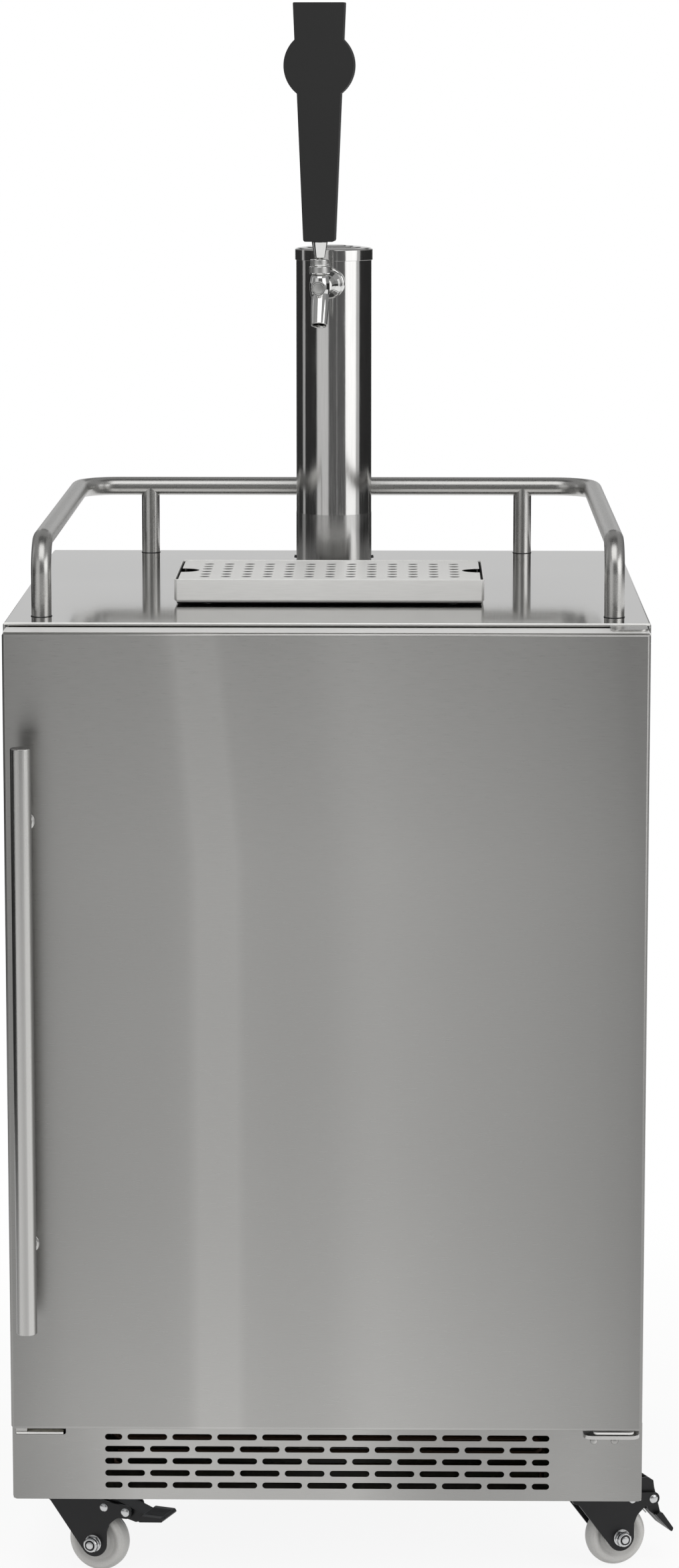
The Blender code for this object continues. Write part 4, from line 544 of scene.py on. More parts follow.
def spun(name, profile, place=Matrix(), steps=48, ring=False):
    """A profile of (radius, height) turned about its upright axis, like work on a lathe."""
    line = [(p[0], p[1]) for p in profile] + ([(profile[0][0], profile[0][1])] if ring else [])
    verts = [(r * math.cos(math.tau * k / steps), r * math.sin(math.tau * k / steps), h)
             for k in range(steps) for r, h in line]
    n = len(line)
    faces = [(k * n + i, (k + 1) % steps * n + i, (k + 1) % steps * n + i + 1, k * n + i + 1)
             for k in range(steps) for i in range(n - 1)]
    mesh = bpy.data.meshes.new(name)
    mesh.from_pydata(verts, [], faces)
    return tidy_mesh(mesh, place)


def from_curve(curve, place):
    drawn = bpy.data.objects.new(curve.name, curve)
    scene.collection.objects.link(drawn)
    mesh = bpy.data.meshes.new_from_object(drawn.evaluated_get(bpy.context.evaluated_depsgraph_get()))
    bpy.data.objects.remove(drawn)
    return tidy_mesh(mesh, place)


def trace(curve, line, cyclic):
    spline = curve.splines.new("POLY")
    spline.points.add(len(line) - 1)
    for point, p in zip(spline.points, line):
        point.co = (*p, 0, 1) if len(p) == 2 else (*p, 1)
    spline.use_cyclic_u = cyclic


def piped(name, line, radius, roundness=10):
    """A tube along a line, as a bender makes it."""
    curve = bpy.data.curves.new(name, "CURVE")
    curve.dimensions = "3D"
    curve.bevel_depth, curve.bevel_resolution = radius, roundness
    curve.use_fill_caps = True
    trace(curve, line, False)
    return from_curve(curve, Matrix())


def plate(name, outline, low, high, place=Matrix(), holes=()):
    """A flat outline with its holes, from height low to high, as a punch cuts it."""
    curve = bpy.data.curves.new(name, "CURVE")
    curve.dimensions = "2D"
    curve.fill_mode = "BOTH"
    curve.extrude = (high - low) / 2
    for line in (outline, *holes):
        trace(curve, [(p[0], p[1]) for p in line], True)
    return from_curve(curve, place @ Matrix.Translation((0, 0, (low + high) / 2)))


def united(name, meshes):
    """Several meshes as one piece."""
    bm = bmesh.new()
    for mesh in meshes:
        bm.from_mesh(mesh)
        bpy.data.meshes.remove(mesh)
    joined = bpy.data.meshes.new(name)
    bm.to_mesh(joined)
    bm.free()
    return joined


def show(name, mesh, body, material, instead=(), edge=0.0, segments=2):
    """The mesh becomes a piece that rides on a body and may stand for CAD nodes."""
    obj = bpy.data.objects.new(name, mesh)
    scene.collection.objects.link(obj)
    mesh.materials.clear()
    mesh.materials.append(material)
    for face in mesh.polygons:
        face.use_smooth = True
        face.material_index = 0
    if edge:
        bevel = obj.modifiers.new("edge", "BEVEL")
        bevel.width, bevel.segments = edge, segments
        bevel.limit_method, bevel.angle_limit = "ANGLE", math.radians(38)
    obj.modifiers.new("normals", "WEIGHTED_NORMAL").keep_sharp = True
    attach(obj, body)
    if instead:
        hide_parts(*([instead] if isinstance(instead, str) else instead))
    return obj


# %% [markdown]
# ## The guard rail
# One stainless tube, 19 mm thick, is bent up from the counter at the front, back along both sides and across
# behind the tower. Two short posts carry it at the back. A curve with a round bevel draws it in one stroke,
# and the arcs at its corners are the bender's own radii.

# %% Guard rail
rail_radius = 0.0095
rail_side, rail_front, rail_back = half_width - 0.032, 0.050, cabinet_depth - 0.020
rail_foot, rail_top, rail_post = counter + seat_gap, counter + 0.070, 0.1955
corners = [at(-rail_side, rail_front, rail_foot), at(-rail_side, rail_front, rail_top),
           at(-rail_side, rail_back, rail_top), at(rail_side, rail_back, rail_top),
           at(rail_side, rail_front, rail_top), at(rail_side, rail_front, rail_foot)]
route = filleted(corners, [0, 0.030, 0.040, 0.040, 0.030, 0], 12)
posts = [piped("post", [at(x, rail_back, rail_foot), at(x, rail_back, rail_top)], rail_radius - 0.0001)
         for x in (-rail_post, rail_post)]
show("rail_tube", united("rail_tube", [piped("rail", route, rail_radius), *posts]), "cabinet", rail_steel,
     "guard_rail")
welds = []
for k, (x, y) in enumerate([(-rail_side, rail_front), (rail_side, rail_front), (-rail_post, rail_back), (rail_post, rail_back)]):
    edge_line = [(rail_radius + 0.0004 + 0.0004 * math.sin(5 * a + k) * math.sin(3 * a)) for a in
                 (math.tau * i / 40 for i in range(40))]
    outline = [(r * math.cos(math.tau * i / 40), r * math.sin(math.tau * i / 40)) for i, r in enumerate(edge_line)]
    welds.append(plate("weld", outline, 0.0001, 0.0005, Matrix.Translation(at(x, y, counter))))
show("rail_foot_welds", united("rail_foot_welds", welds), "cabinet", seal_black)
print("rail points:", len(route))

# %% [markdown]
# ## Bright edges at the front
# Where the counter's sheet folds down, its rounded edge gathers light from above into one bright line. Behind
# the door's front, its folded top shows as a narrow pale strip, with the dark gap to the counter between them.
# Both get the pale finish of the drip tray, not their own steel: a painted highlight.

# %% Counter edge and door top
# Painted highlight: the nosing and, below, the door's top fold are drawn in the pale tray finish.
nosing = piped("nosing", [at(-half_width + 0.001, 0.0009, counter - 0.0009), at(half_width - 0.001, 0.0009, counter - 0.0009)],
               0.0013, 6)
show("counter_nosing", nosing, "cabinet", tray_steel)
door_low, door_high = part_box("door_skin")
top_edge = [(door_low.x + 0.001, door_low.y + 0.001), (door_high.x - 0.001, door_low.y + 0.001),
            (door_high.x - 0.001, door_high.y + 0.003), (door_low.x + 0.001, door_high.y + 0.003)]
show("door_top_fold", plate("door_top_fold", top_edge, door_high.z, door_high.z + 0.0003), "door", tray_steel)
print("door top at:", round(door_high.z, 4))

# %% [markdown]
# ## The tower
# A 76 mm tube stands on a square flange and is closed by a pressed cap. Polished tube shows the whole room
# wrapped round it, so its facets would show at once. It gets 96 sides, and the cap gets the shallow rings that
# the press leaves in its top.

# %% Tower
tower_low, tower_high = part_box("tower_column")
tower = (tower_low + tower_high) / 2
tower_radius = (tower_high.x - tower_low.x) / 2
tower_spot = Matrix.Translation((tower.x, tower.y, 0))
column = filleted([(tower_radius - 0.002, tower_high.z), (tower_radius, tower_high.z), (tower_radius, tower_low.z),
                   (tower_radius - 0.002, tower_low.z)], 0.0003, 2, closed=True)
show("tower_tube", spun("tower_tube", column, tower_spot, 96, ring=True), "cabinet", tower_steel,
     "tower_column")
cap_low, cap_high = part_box("tower_cap")
cap_r, cap_z = (cap_high.x - cap_low.x) / 2, cap_high.z
steps_in = [(0.0, 0.0024), (0.30, 0.0023), (0.34, 0.0016), (0.50, 0.0016), (0.55, 0.0009), (0.70, 0.0008), (0.75, 0.0001),
            (0.92, -0.0003), (1.0, -0.0016)]
cap = [(cap_r * share, cap_z + rise) for share, rise in steps_in]
cap += [(cap_r, cap_low.z), (cap_r - 0.0006, cap_low.z), (cap_r - 0.0006, cap_z - 0.0028), (0, cap_z - 0.0028)]
show("tower_lid", spun("tower_lid", filleted(cap, 0.0008, 3), tower_spot, 96), "cabinet", tower_steel,
     "tower_cap")
flange_low, flange_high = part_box("tower_flange")
flange_half = (flange_high.x - flange_low.x) / 2
square = [(-flange_half, -flange_half), (flange_half, -flange_half), (flange_half, flange_half),
          (-flange_half, flange_half)]
show("tower_foot", plate("tower_foot", filleted(square, 0.020, 10, closed=True), flange_low.z, flange_high.z, tower_spot,
                         [ring_of((0, 0), 0.022, 48)]),
     "cabinet", tower_steel, "tower_flange", edge=0.0016, segments=3)
film_low, film_high = flange_high.z + 0.0002, 0.990
film = [(tower_radius - 0.0002, film_low), (tower_radius + 0.00015, film_low), (tower_radius + 0.00015, film_high),
        (tower_radius - 0.0002, film_high)]
show("tower_foot_film", spun("tower_foot_film", film, tower_spot, 96, ring=True), "cabinet", film_steel)
print("tower radius:", round(tower_radius, 4))


# %% [markdown]
# ## Screws and nuts
# Small fasteners make a machine believable. A pan head is a low dome with a cross cut into it, a rivet is a
# plain dome, and a lock nut is a hexagon with chamfered corners, a collar and the end of its bolt.

# %% Fasteners
def dome(radius, height, place):
    profile = [(0, height)] + [(radius * math.sin(a), height * math.cos(a))
                               for a in (math.radians(15 * k) for k in range(1, 7))] + [(radius, -0.0004), (0, -0.0004)]
    return spun("dome", profile, place, 24)


def screws(name, places, radius, height, body, material=None):
    """Cross-head pan screws, whose recess is a black cross: painted shade. Each place is a matrix whose Z points out of
    the surface.
    """
    heads = [dome(radius, height, place) for place in places]
    crosses = []
    for place in places:
        arm, wide = radius * 0.55, radius * 0.13
        cross = [(-arm, -wide), (-wide, -wide), (-wide, -arm), (wide, -arm), (wide, -wide), (arm, -wide),
                 (arm, wide), (wide, wide), (wide, arm), (-wide, arm), (-wide, wide), (-arm, wide)]
        crosses.append(plate("cross", cross, height * 0.55, height * 0.93, place))
    show(name, united(name, heads), body, material or zinc_bright)
    # The black crosses are painted shade standing in for the recess.
    show(name + "_recess_painted_shade", united(name + "_recess_painted_shade", crosses), body, seal_black)


set_screws = [spun("set_screw", filleted([(0, 0.0022), (0.0015, 0.0022), (0.0015, -0.001), (0, -0.001)], 0.0004, 2),
                   Matrix.Translation((tower.x + side * tower_radius, tower.y, flange_high.z + 0.009)) @
                   Matrix.Rotation(side * math.radians(78), 4, "Y"), 20) for side in (-1, 1)]
show("tower_set_screws", united("tower_set_screws", set_screws), "cabinet", seal_black)


# %% [markdown]
# ## The tap
# A beer tap is chromed brass, turned on a lathe and assembled along two axes: the shank runs level out of the
# tower, and the body, bonnet and lever stand on the upright one. Working in the tap's own frame, a few degrees
# off the tower's front as in the photograph, keeps every part on those two axes.

# %% Tap body
tap_frame = Matrix.Translation((tower.x, tower.y, 1.223)) @ Matrix.Rotation(math.radians(-5), 4, "Z")
tap_reach, tap_lie = 0.135, Matrix.Rotation(math.radians(90), 4, "X")
satin_chrome = steel("satin_chrome", (0.52, 0.52, 0.51), (1500, 1500, 1500), (0.34, 0.46), depth=0.00003)


def lying(out):
    """Turned pieces whose axis runs forward out of the tower, starting that far from its middle."""
    return tap_frame @ Matrix.Translation((0, -out, 0)) @ tap_lie


flange_start = tower_radius + seat_gap
flange = [(0.0113, 0.007), (0.0126, 0.007), (0.0144, 0.006), (0.0153, 0.0042), (0.0153, 0), (0.0113, 0)]
show("shank_rose", spun("shank_rose", filleted(flange, 0.0012, 4, closed=True), lying(flange_start), 64, ring=True),
     "cabinet", chrome, "shank_flange")
nut_start = flange_start + 0.007 + seat_gap
nut = [(0.0113, 0.014), (0.0123, 0.014), (0.0139, 0.0122), (0.0139, 0.0018), (0.0123, 0), (0.0113, 0)]
show("shank_nut_ring", spun("shank_nut_ring", filleted(nut, 0.0009, 3, closed=True), lying(nut_start), 64, ring=True),
     "cabinet", chrome, "coupling_nut")
tail_start = nut_start + 0.014 + seat_gap
upright_tap = tap_frame @ Matrix.Translation((0, -tap_reach, 0))
globe = [(0, 0.0128), (0.0078, 0.0128), (0.0088, 0.0100), (0.0097, 0.0050), (0.0098, -0.0010), (0.0090, -0.0065),
         (0.0072, -0.0105), (0, -0.0125)]
spout_long = 0.0345
spout = [(0, 0), (0.0078, 0), (0.0086, 0.010), (0.0086, 0.018), (0.0079, spout_long - 0.0004), (0.0075, spout_long),
         (0.0066, spout_long), (0.0062, spout_long - 0.003), (0.0060, spout_long - 0.014), (0, spout_long - 0.014)]
spout_place = upright_tap @ Matrix.Translation((0.0008, 0, -0.004)) @ Matrix.Rotation(math.radians(157), 4, "X")
barrel_end = tap_reach - tail_start
tail = [(0, 0), (0.0138, 0), (0.0138, 0.0045), (0.0112, 0.0070), (0.0092, 0.0095), (0.0088, 0.020),
        (0.0088, barrel_end), (0, barrel_end)]
boss = [(0, 0.0121), (0.0050, 0.0121), (0.0054, 0.0135), (0.0069, 0.0135), (0.0073, 0.0128), (0.0073, 0.0085), (0.0064, 0.0070),
        (0.0064, 0), (0, 0)]
body_meshes = [spun("globe", filleted(globe, 0.003, 5), upright_tap, 64),
               spun("spout", filleted(spout, 0.0006, 3), spout_place, 64),
               spun("tail", filleted(tail, 0.0025, 5), lying(tail_start), 64),
               spun("boss", filleted(boss, 0.0005, 3), lying(tap_reach), 48)]
show("tap_body", united("tap_body", body_meshes), "cabinet", chrome, "faucet_body")
show("boss_face", spun("boss_face", [(0, 0.0124), (0.0049, 0.0124), (0.0049, 0.0119), (0, 0.0119)], lying(tap_reach), 40),
     "cabinet", satin_chrome)
bonnet_low = 0.013 + seat_gap
bonnet = [(0.0078, 0.0147), (0.0090, 0.0147), (0.0093, 0.0143), (0.0093, 0.0100), (0.0086, 0.0096), (0.0084, 0.0086),
          (0.0096, 0.0080), (0.0101, 0.0074), (0.0102, 0.0016), (0.0096, 0.0004), (0.0044, 0.0), (0.0044, 0.0100),
          (0.0062, 0.0129), (0.0078, 0.0129)]
bonnet_place = upright_tap @ Matrix.Translation((0, 0, bonnet_low))
show("tap_bonnet", spun("tap_bonnet", filleted(bonnet, 0.0004, 2, closed=True), bonnet_place, 64, ring=True), "cabinet",
     chrome, "faucet_bonnet")
bands = [spun("band", [(r, low), (r + 0.00012, low + 0.0001), (r + 0.00012, high - 0.0001), (r, high)],
              bonnet_place, 96) for r, low, high in ((0.0102, 0.0018, 0.0070), (0.0093, 0.0104, 0.0138))]
show("bonnet_bands", united("bonnet_bands", bands), "cabinet", satin_chrome)

# %% Lever and its ferrule
pivot_up, ferrule_low = 0.023, 0.006
pivot_place = upright_tap @ Matrix.Translation((0, 0, pivot_up))
lever_low, lever_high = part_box("faucet_lever")
ferrule_top = lever_high.z - 1.223 - pivot_up
lever = [(0, ferrule_top), (0.0079, ferrule_top), (0.0052, ferrule_low + 0.0006), (0.0046, ferrule_low), (0.0032, ferrule_low),
         (0.0032, 0.0028)]
lever += [(0.004 * math.sin(math.radians(a)), 0.004 * math.cos(math.radians(a))) for a in range(50, 181, 13)] + [(0, -0.004)]
show("tap_lever_ferrule", spun("tap_lever_ferrule", filleted(lever, 0.0004, 2), pivot_place, 64), "tap_lever", chrome,
     "faucet_lever")

# %% [markdown]
# ## The tap handle
# The tall black paddle tapers to its foot and swells into a disc two thirds of the way up. It is one flat
# outline, sawn from board and eased all round, so a filled curve and a bevel give it directly. Its face stays
# bare.

# %% Tap handle
handle_low, handle_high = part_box("tap_handle")
disc_z = handle_low.z + 0.1695
disc_r, foot_half, low_half, neck_half, top_half = 0.0342, 0.01515, 0.0212, 0.0235, 0.0250
start = -math.acos(low_half / disc_r)
end = math.acos(neck_half / disc_r)
right = [(foot_half, handle_low.z)]
right += [(disc_r * math.cos(start + (end - start) * k / 24), disc_z + disc_r * math.sin(start + (end - start) * k / 24))
          for k in range(25)]
right += [(top_half, handle_high.z)]
paddle = [Vector((*p, 0)) for p in right] + [Vector((-x, z, 0)) for x, z in reversed(right)]
radii = [0.0022] + [0.0] * 25 + [0.0012] * 2 + [0.0] * 25 + [0.0022]
paddle_spot = Matrix.Translation((tap_frame @ Vector((0, -tap_reach, 0))) * Vector((1, 1, 0))) @ \
    Matrix.Rotation(math.radians(-5), 4, "Z") @ facing
show("tap_paddle", plate("tap_paddle", filleted(paddle, radii, 5, closed=True), -0.010, 0.010, paddle_spot), "tap_lever",
     handle_black, "tap_handle", edge=0.0035, segments=4)
print("paddle:", round(handle_high.z - handle_low.z, 4), "m tall")

# %% [markdown]
# ## The door handle
# A plain bar stands off the door on two posts. Its ends are cut square and eased. It is satin finished along
# its length, which spreads reflections into long soft streaks.

# %% Door handle
bar_low, bar_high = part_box("door_handle_bar")
bar_spot = Matrix.Translation(((bar_low.x + bar_high.x) / 2, (bar_low.y + bar_high.y) / 2, 0))
bar = [(0, bar_low.z), (rail_radius, bar_low.z), (rail_radius, bar_high.z), (0, bar_high.z)]
show("handle_bar", spun("handle_bar", filleted(bar, 0.0012, 4), bar_spot, 64), "door", bar_steel,
     "door_handle_bar")
for name in ("handle_post_lower", "handle_post_upper"):
    low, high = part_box(name)
    middle = (low + high) / 2
    reach_y = high.y - (bar_low.y + bar_high.y) / 2
    post = [(0, 0), (0.009, 0), (0.009, 0.0027), (0.0066, 0.0038), (0.006, 0.005), (0.006, reach_y - 0.003), (0, reach_y - 0.003)]
    spot = Matrix.Translation((bar_spot.translation.x, high.y, middle.z)) @ facing
    show(name + "_turned", spun(name, filleted(post, 0.0006, 3), spot, 40), "door", bar_steel, name)

# %% [markdown]
# ## The slotted kick plate
# The compressor breathes through five rows of slots in the front plate, long ones and, at the ends of every
# other row, short ones. A punch gives each slot round ends. The upper corners are cut away for a hinge on
# either side, since the same plate serves both hands of door.

# %% Kick plate
kick_low, kick_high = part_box("kick_plate")
kick_top, kick_bottom = kick_high.z, kick_low.z
slot_long, bridge, slot_high, row_pitch, first_row = 0.038, 0.00485, 0.0059, 0.0119, 0.0162
slots_across, rows = 10, 5


def slot_line(x, z, length, height, steps=8):
    r = height / 2
    ends = [(x + length / 2 - r, -90), (x - length / 2 + r, 90)]
    return [(cx + r * math.cos(math.radians(turn + 180 * k / steps)), z + r * math.sin(math.radians(turn + 180 * k / steps)))
            for cx, turn in ends for k in range(steps + 1)]


field = slots_across * slot_long + (slots_across - 1) * bridge
slot_short = (field - (slots_across - 1) * slot_long - slots_across * bridge) / 2
slots = []
for row in range(rows):
    lengths = [slot_long] * slots_across
    if row % 2 == 0:
        lengths = [slot_short] + [slot_long] * (slots_across - 1) + [slot_short]
    x = cabinet.x - field / 2
    for length in lengths:
        slots.append(slot_line(x + length / 2, kick_top - first_row - row * row_pitch, length, slot_high))
        x += length + bridge
ear, notch_wide, notch_deep = half_width - 0.003, 0.048, 0.014
half = [(-ear + notch_wide, kick_top), (-ear + notch_wide, kick_top - notch_deep), (-ear, kick_top - notch_deep),
        (-ear, kick_top), (-half_width, kick_top), (-half_width, kick_bottom)]
outline = [(cabinet.x + x, z) for x, z in half] + [(cabinet.x - x, z) for x, z in reversed(half)]
corner_r = [0.0008, 0.002, 0.001, 0.0005, 0.0005, 0.004]
kick_line = filleted(outline, corner_r + corner_r[::-1], 5, closed=True)
kick_spot = Matrix.Translation((0, kick_high.y, 0)) @ facing
grille = plate("grille", kick_line, 0, kick_high.y - kick_low.y, kick_spot, slots)
show("kick_grille", united("kick_grille", [grille]), "cabinet", kick_steel, "kick_plate", edge=0.0003)
fold_line = [(cabinet.x - 0.2965, cabinet.y - 0.0013), (cabinet.x - 0.2515, cabinet.y - 0.0013),
             (cabinet.x - 0.2515, cabinet.y + 0.0085), (cabinet.x - 0.2965, cabinet.y + 0.0085)]
fold = plate("fold", filleted(fold_line, [0, 0, 0.004, 0], 5, closed=True), kick_top - notch_deep + 0.0001,
             kick_top - notch_deep + 0.0022)
show("notch_fold", fold, "cabinet", tray_steel, edge=0.0003)
print("slots:", len(slots))

# %% Lower hinge leaf and screws
hinge_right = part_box("hinge_lower_bracket")[1].x
leaf_line = [(hinge_right - 0.0445, cabinet.y - 0.0372), (hinge_right - 0.0065, cabinet.y - 0.0372),
             (hinge_right - 0.0065, cabinet.y - 0.009), (hinge_right - 0.0445, cabinet.y - 0.009)]
leaf = plate("leaf", filleted(leaf_line, 0.004, 6, closed=True), 0.1643, 0.1664)
show("hinge_leaf", leaf, "cabinet", tray_steel, edge=0.0008, segments=3)
heads = [dome(0.0036, 0.0018, Matrix.Translation((hinge_right - back, kick_low.y, 0.147)) @ facing)
         for back in (0.0427, 0.0229)]
show("kick_plate_rivets", united("kick_plate_rivets", heads), "cabinet", kick_steel)

# %% [markdown]
# ## The drip tray's grate
# Six rows of thirteen round holes let spilled beer through, and a round notch at each end takes a finger. With
# so many holes a Boolean would be slow and untidy. A filled curve takes them all as inner rings at once.

# %% Grate
grate_low, grate_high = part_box("drip_grate")
grate_mid = (grate_low + grate_high) / 2
grate_half, grate_front, grate_rear = (grate_high.x - grate_low.x) / 2, grate_low.y, grate_high.y
holes = [ring_of((grate_mid.x + (i - 6) * 0.020, grate_mid.y + (j - 2.5) * 0.0211), 0.0050, 28)
         for i in range(13) for j in range(6)]
rear, grate_end = grate_rear - grate_mid.y, grate_half - 0.0016
notch = [(grate_end - 0.0170 * math.sin(math.radians(a)), -0.0165 * math.cos(math.radians(a))) for a in range(0, 181, 10)]
right = [(grate_end - 0.0025, -rear), (grate_end, -rear + 0.0025), *notch, (grate_end, rear - 0.0025),
         (grate_end - 0.0025, rear)]
grate_line = [(grate_mid.x + x, grate_mid.y + y) for x, y in right] + \
    [(grate_mid.x - x, grate_mid.y + y) for x, y in reversed(right)]
skirts = []
for side in (-1, 1):
    for y in (grate_front + 0.012, grate_rear - 0.042):
        x = grate_mid.x + side * (grate_half - 0.0031)
        skirts.append(plate("skirt", [(x - 0.0006, y), (x + 0.0006, y), (x + 0.0006, y + 0.03), (x - 0.0006, y + 0.03)],
                            grate_low.z, grate_high.z - 0.0006))
grate_mesh = united("grate", [plate("grate", grate_line, grate_high.z - 0.0006, grate_high.z, Matrix(), holes), *skirts])
show("grate", grate_mesh, "grate", tray_steel, "drip_grate", edge=0.00015)


def tray_ring(inset):
    """A rectangle inside the tray's walls."""
    return [(grate_mid.x + i * (grate_half - inset), grate_mid.y + j * (rear - inset))
            for i, j in ((-1, -1), (1, -1), (1, 1), (-1, 1))]


# Painted shade: under the grate the tray is filled with a near-black block and near-black walls, so the holes show
# dark.
tray_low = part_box("drip_tray")[0].z
lining = [plate("floor", tray_ring(0.0006), tray_low + 0.0012, grate_low.z - 0.0002),
          plate("walls", tray_ring(0.0), grate_low.z - 0.0004, grate_high.z - 0.0009, Matrix(), [tray_ring(0.0006)])]
show("tray_painted_shade_lining", united("tray_painted_shade_lining", lining), "tray", painted_shade_steel)
print("grate holes:", len(holes))

# %% [markdown]
# ## Casters
# Each caster is a pressed black fork on a ball race, with a pale rubber wheel between its cheeks. The wheel's
# tread is rounded and its sides are dished towards the hub. Two rivets join the brake's cheeks in front. All
# four are drawn once, in the fork's own frame, and set down at their own angles.

# %% Wheels and forks
kingpin_x, kingpin_in, trail, axle_up = 0.250, 0.062, 0.031, 0.0305 * math.cos(math.pi / 18)
caster_at = {"front_left": (-kingpin_x, kingpin_in, -21), "front_right": (kingpin_x, kingpin_in, 23),
             "rear_left": (-kingpin_x, cabinet_depth - kingpin_in, 15),
             "rear_right": (kingpin_x, cabinet_depth - kingpin_in, 160)}
fork_in, fork_out, fork_top = 0.0130, 0.0155, 0.0745
wheel_side = [(0.0043, 0.0122), (0.0088, 0.0122), (0.0104, 0.0112), (0.0112, 0.0082), (0.0135, 0.0062), (0.0185, 0.0064),
              (0.0215, 0.0086), (0.0235, 0.0094), (0.0262, 0.0092), (0.0290, 0.0062), (0.0300, 0.0025)]
wheel_line = filleted(wheel_side + [(r, -z) for r, z in reversed(wheel_side)], 0.003, 4, closed=True)


def cheek_line(braked):
    tail, lobe = ((0.065, 0.065), 0.0066) if braked else ((0.0425, fork_top - 0.009), 0.009)
    hub = 0.0135
    line = [(-0.022, fork_top), (-0.0205, fork_top - 0.0045), (-0.0150, fork_top - 0.0062)]
    line += [(trail + hub * math.cos(math.radians(a)), axle_up + hub * math.sin(math.radians(a))) for a in range(215, 366, 10)]
    line += [(trail + hub * 1.0, axle_up + hub * 0.95), (trail + hub * 1.25, axle_up + hub * 1.55),
             (tail[0] - lobe * 1.3, tail[1] - lobe * 1.0)]
    line += [(tail[0] + lobe * math.cos(math.radians(a)), tail[1] + lobe * math.sin(math.radians(a)))
             for a in range(280, 431, 10)]
    line += [(0.036, fork_top)]
    radii = [0, 0.003, 0.006] + [0] * 16 + [0.006, 0.008, 0.006] + [0] * 16 + [0.002]
    return filleted(line, radii, 4, closed=True)


def lock_nut(place, low):
    """A flanged hexagon nut with the raised collar that grips the bolt."""
    flat = plate("flat", ring_of((0, 0), 0.0080, 6), low, low + 0.0052, place)
    washer = spun("washer", [(0, low), (0.0083, low), (0.0083, low + 0.0008), (0, low + 0.0012)], place, 40)
    collar = [(0.0050, low + 0.0086), (0.0061, low + 0.0086), (0.0071, low + 0.0072), (0.0072, low + 0.0045),
              (0.0050, low + 0.0045)]
    return [flat, washer, spun("collar", filleted(collar, 0.0006, 3, closed=True), place, 40, ring=True)]


for name, (x, y, angle) in caster_at.items():
    braked = name.startswith("front")
    spot = Matrix.Translation(at(x, y)) @ Matrix.Rotation(math.radians(angle), 4, "Z")
    axle = spot @ Matrix.Translation((trail, 0, axle_up))
    show("wheel_" + name + "_turned", spun("wheel", wheel_line, axle @ facing, 72, ring=True), "wheel_" + name,
         wheel_rubber, "caster_wheel_" + name)
    line = cheek_line(braked)
    cheeks = [plate("cheek", line, fork_in, fork_out, spot @ facing),
              plate("cheek", line, -fork_out, -fork_in, spot @ facing)]
    bridge_line = [(-0.020, -fork_in - 0.001), (0.034, -fork_in - 0.001), (0.034, fork_in + 0.001), (-0.020, fork_in + 0.001)]
    cheeks.append(plate("crown", filleted(bridge_line, 0.002, 3, closed=True), fork_top - 0.0025, fork_top, spot))
    show("fork_" + name + "_pressed", united("fork", cheeks), "fork_" + name, fork_enamel,
         "caster_fork_" + name, edge=0.0006)
    race = [(0, fork_top - 0.001), (0.019, fork_top - 0.001), (0.021, fork_top + 0.001), (0.021, 0.0786), (0.0192, 0.0796),
            (0.0192, 0.0806), (0.021, 0.0814), (0.021, 0.0838), (0.020, 0.0842), (0, 0.0842)]
    show("race_" + name, spun("race", filleted(race, 0.0006, 2), spot, 56), "fork_" + name, fork_enamel)
    fasteners, grips = [], []
    for side in (-1, 1):
        way = axle @ (facing if side == 1 else facing @ Matrix.Rotation(math.pi, 4, "X"))
        fasteners += lock_nut(way, fork_out)
        bolt = [(0, fork_out + 0.0093), (0.0032, fork_out + 0.0093), (0.0038, fork_out + 0.0087), (0.0038, fork_out + 0.004),
                (0, fork_out + 0.004)]
        fasteners.append(spun("bolt", bolt, way, 28))
        grip = [(0.0037, fork_out + 0.0070), (0.0052, fork_out + 0.0070), (0.0052, fork_out + 0.0060), (0.0037, fork_out + 0.0060)]
        grips.append(spun("grip", grip, way, 32, ring=True))
        if braked:
            for px, pz, r in ((0.0425, 0.0673, 0.0043), (0.065, 0.065, 0.0045)):
                way = spot @ Matrix.Translation((px, 0, pz)) @ (facing if side == 1 else facing @ Matrix.Rotation(math.pi, 4, "X"))
                fasteners.append(dome(r, 0.0020, way @ Matrix.Translation((0, 0, fork_out))))
    show("fasteners_" + name, united("fasteners", fasteners), "fork_" + name, zinc_bright)
    show("nut_grips_" + name, united("nut_grips", grips), "fork_" + name, seal_black)
print("casters:", len(caster_at))

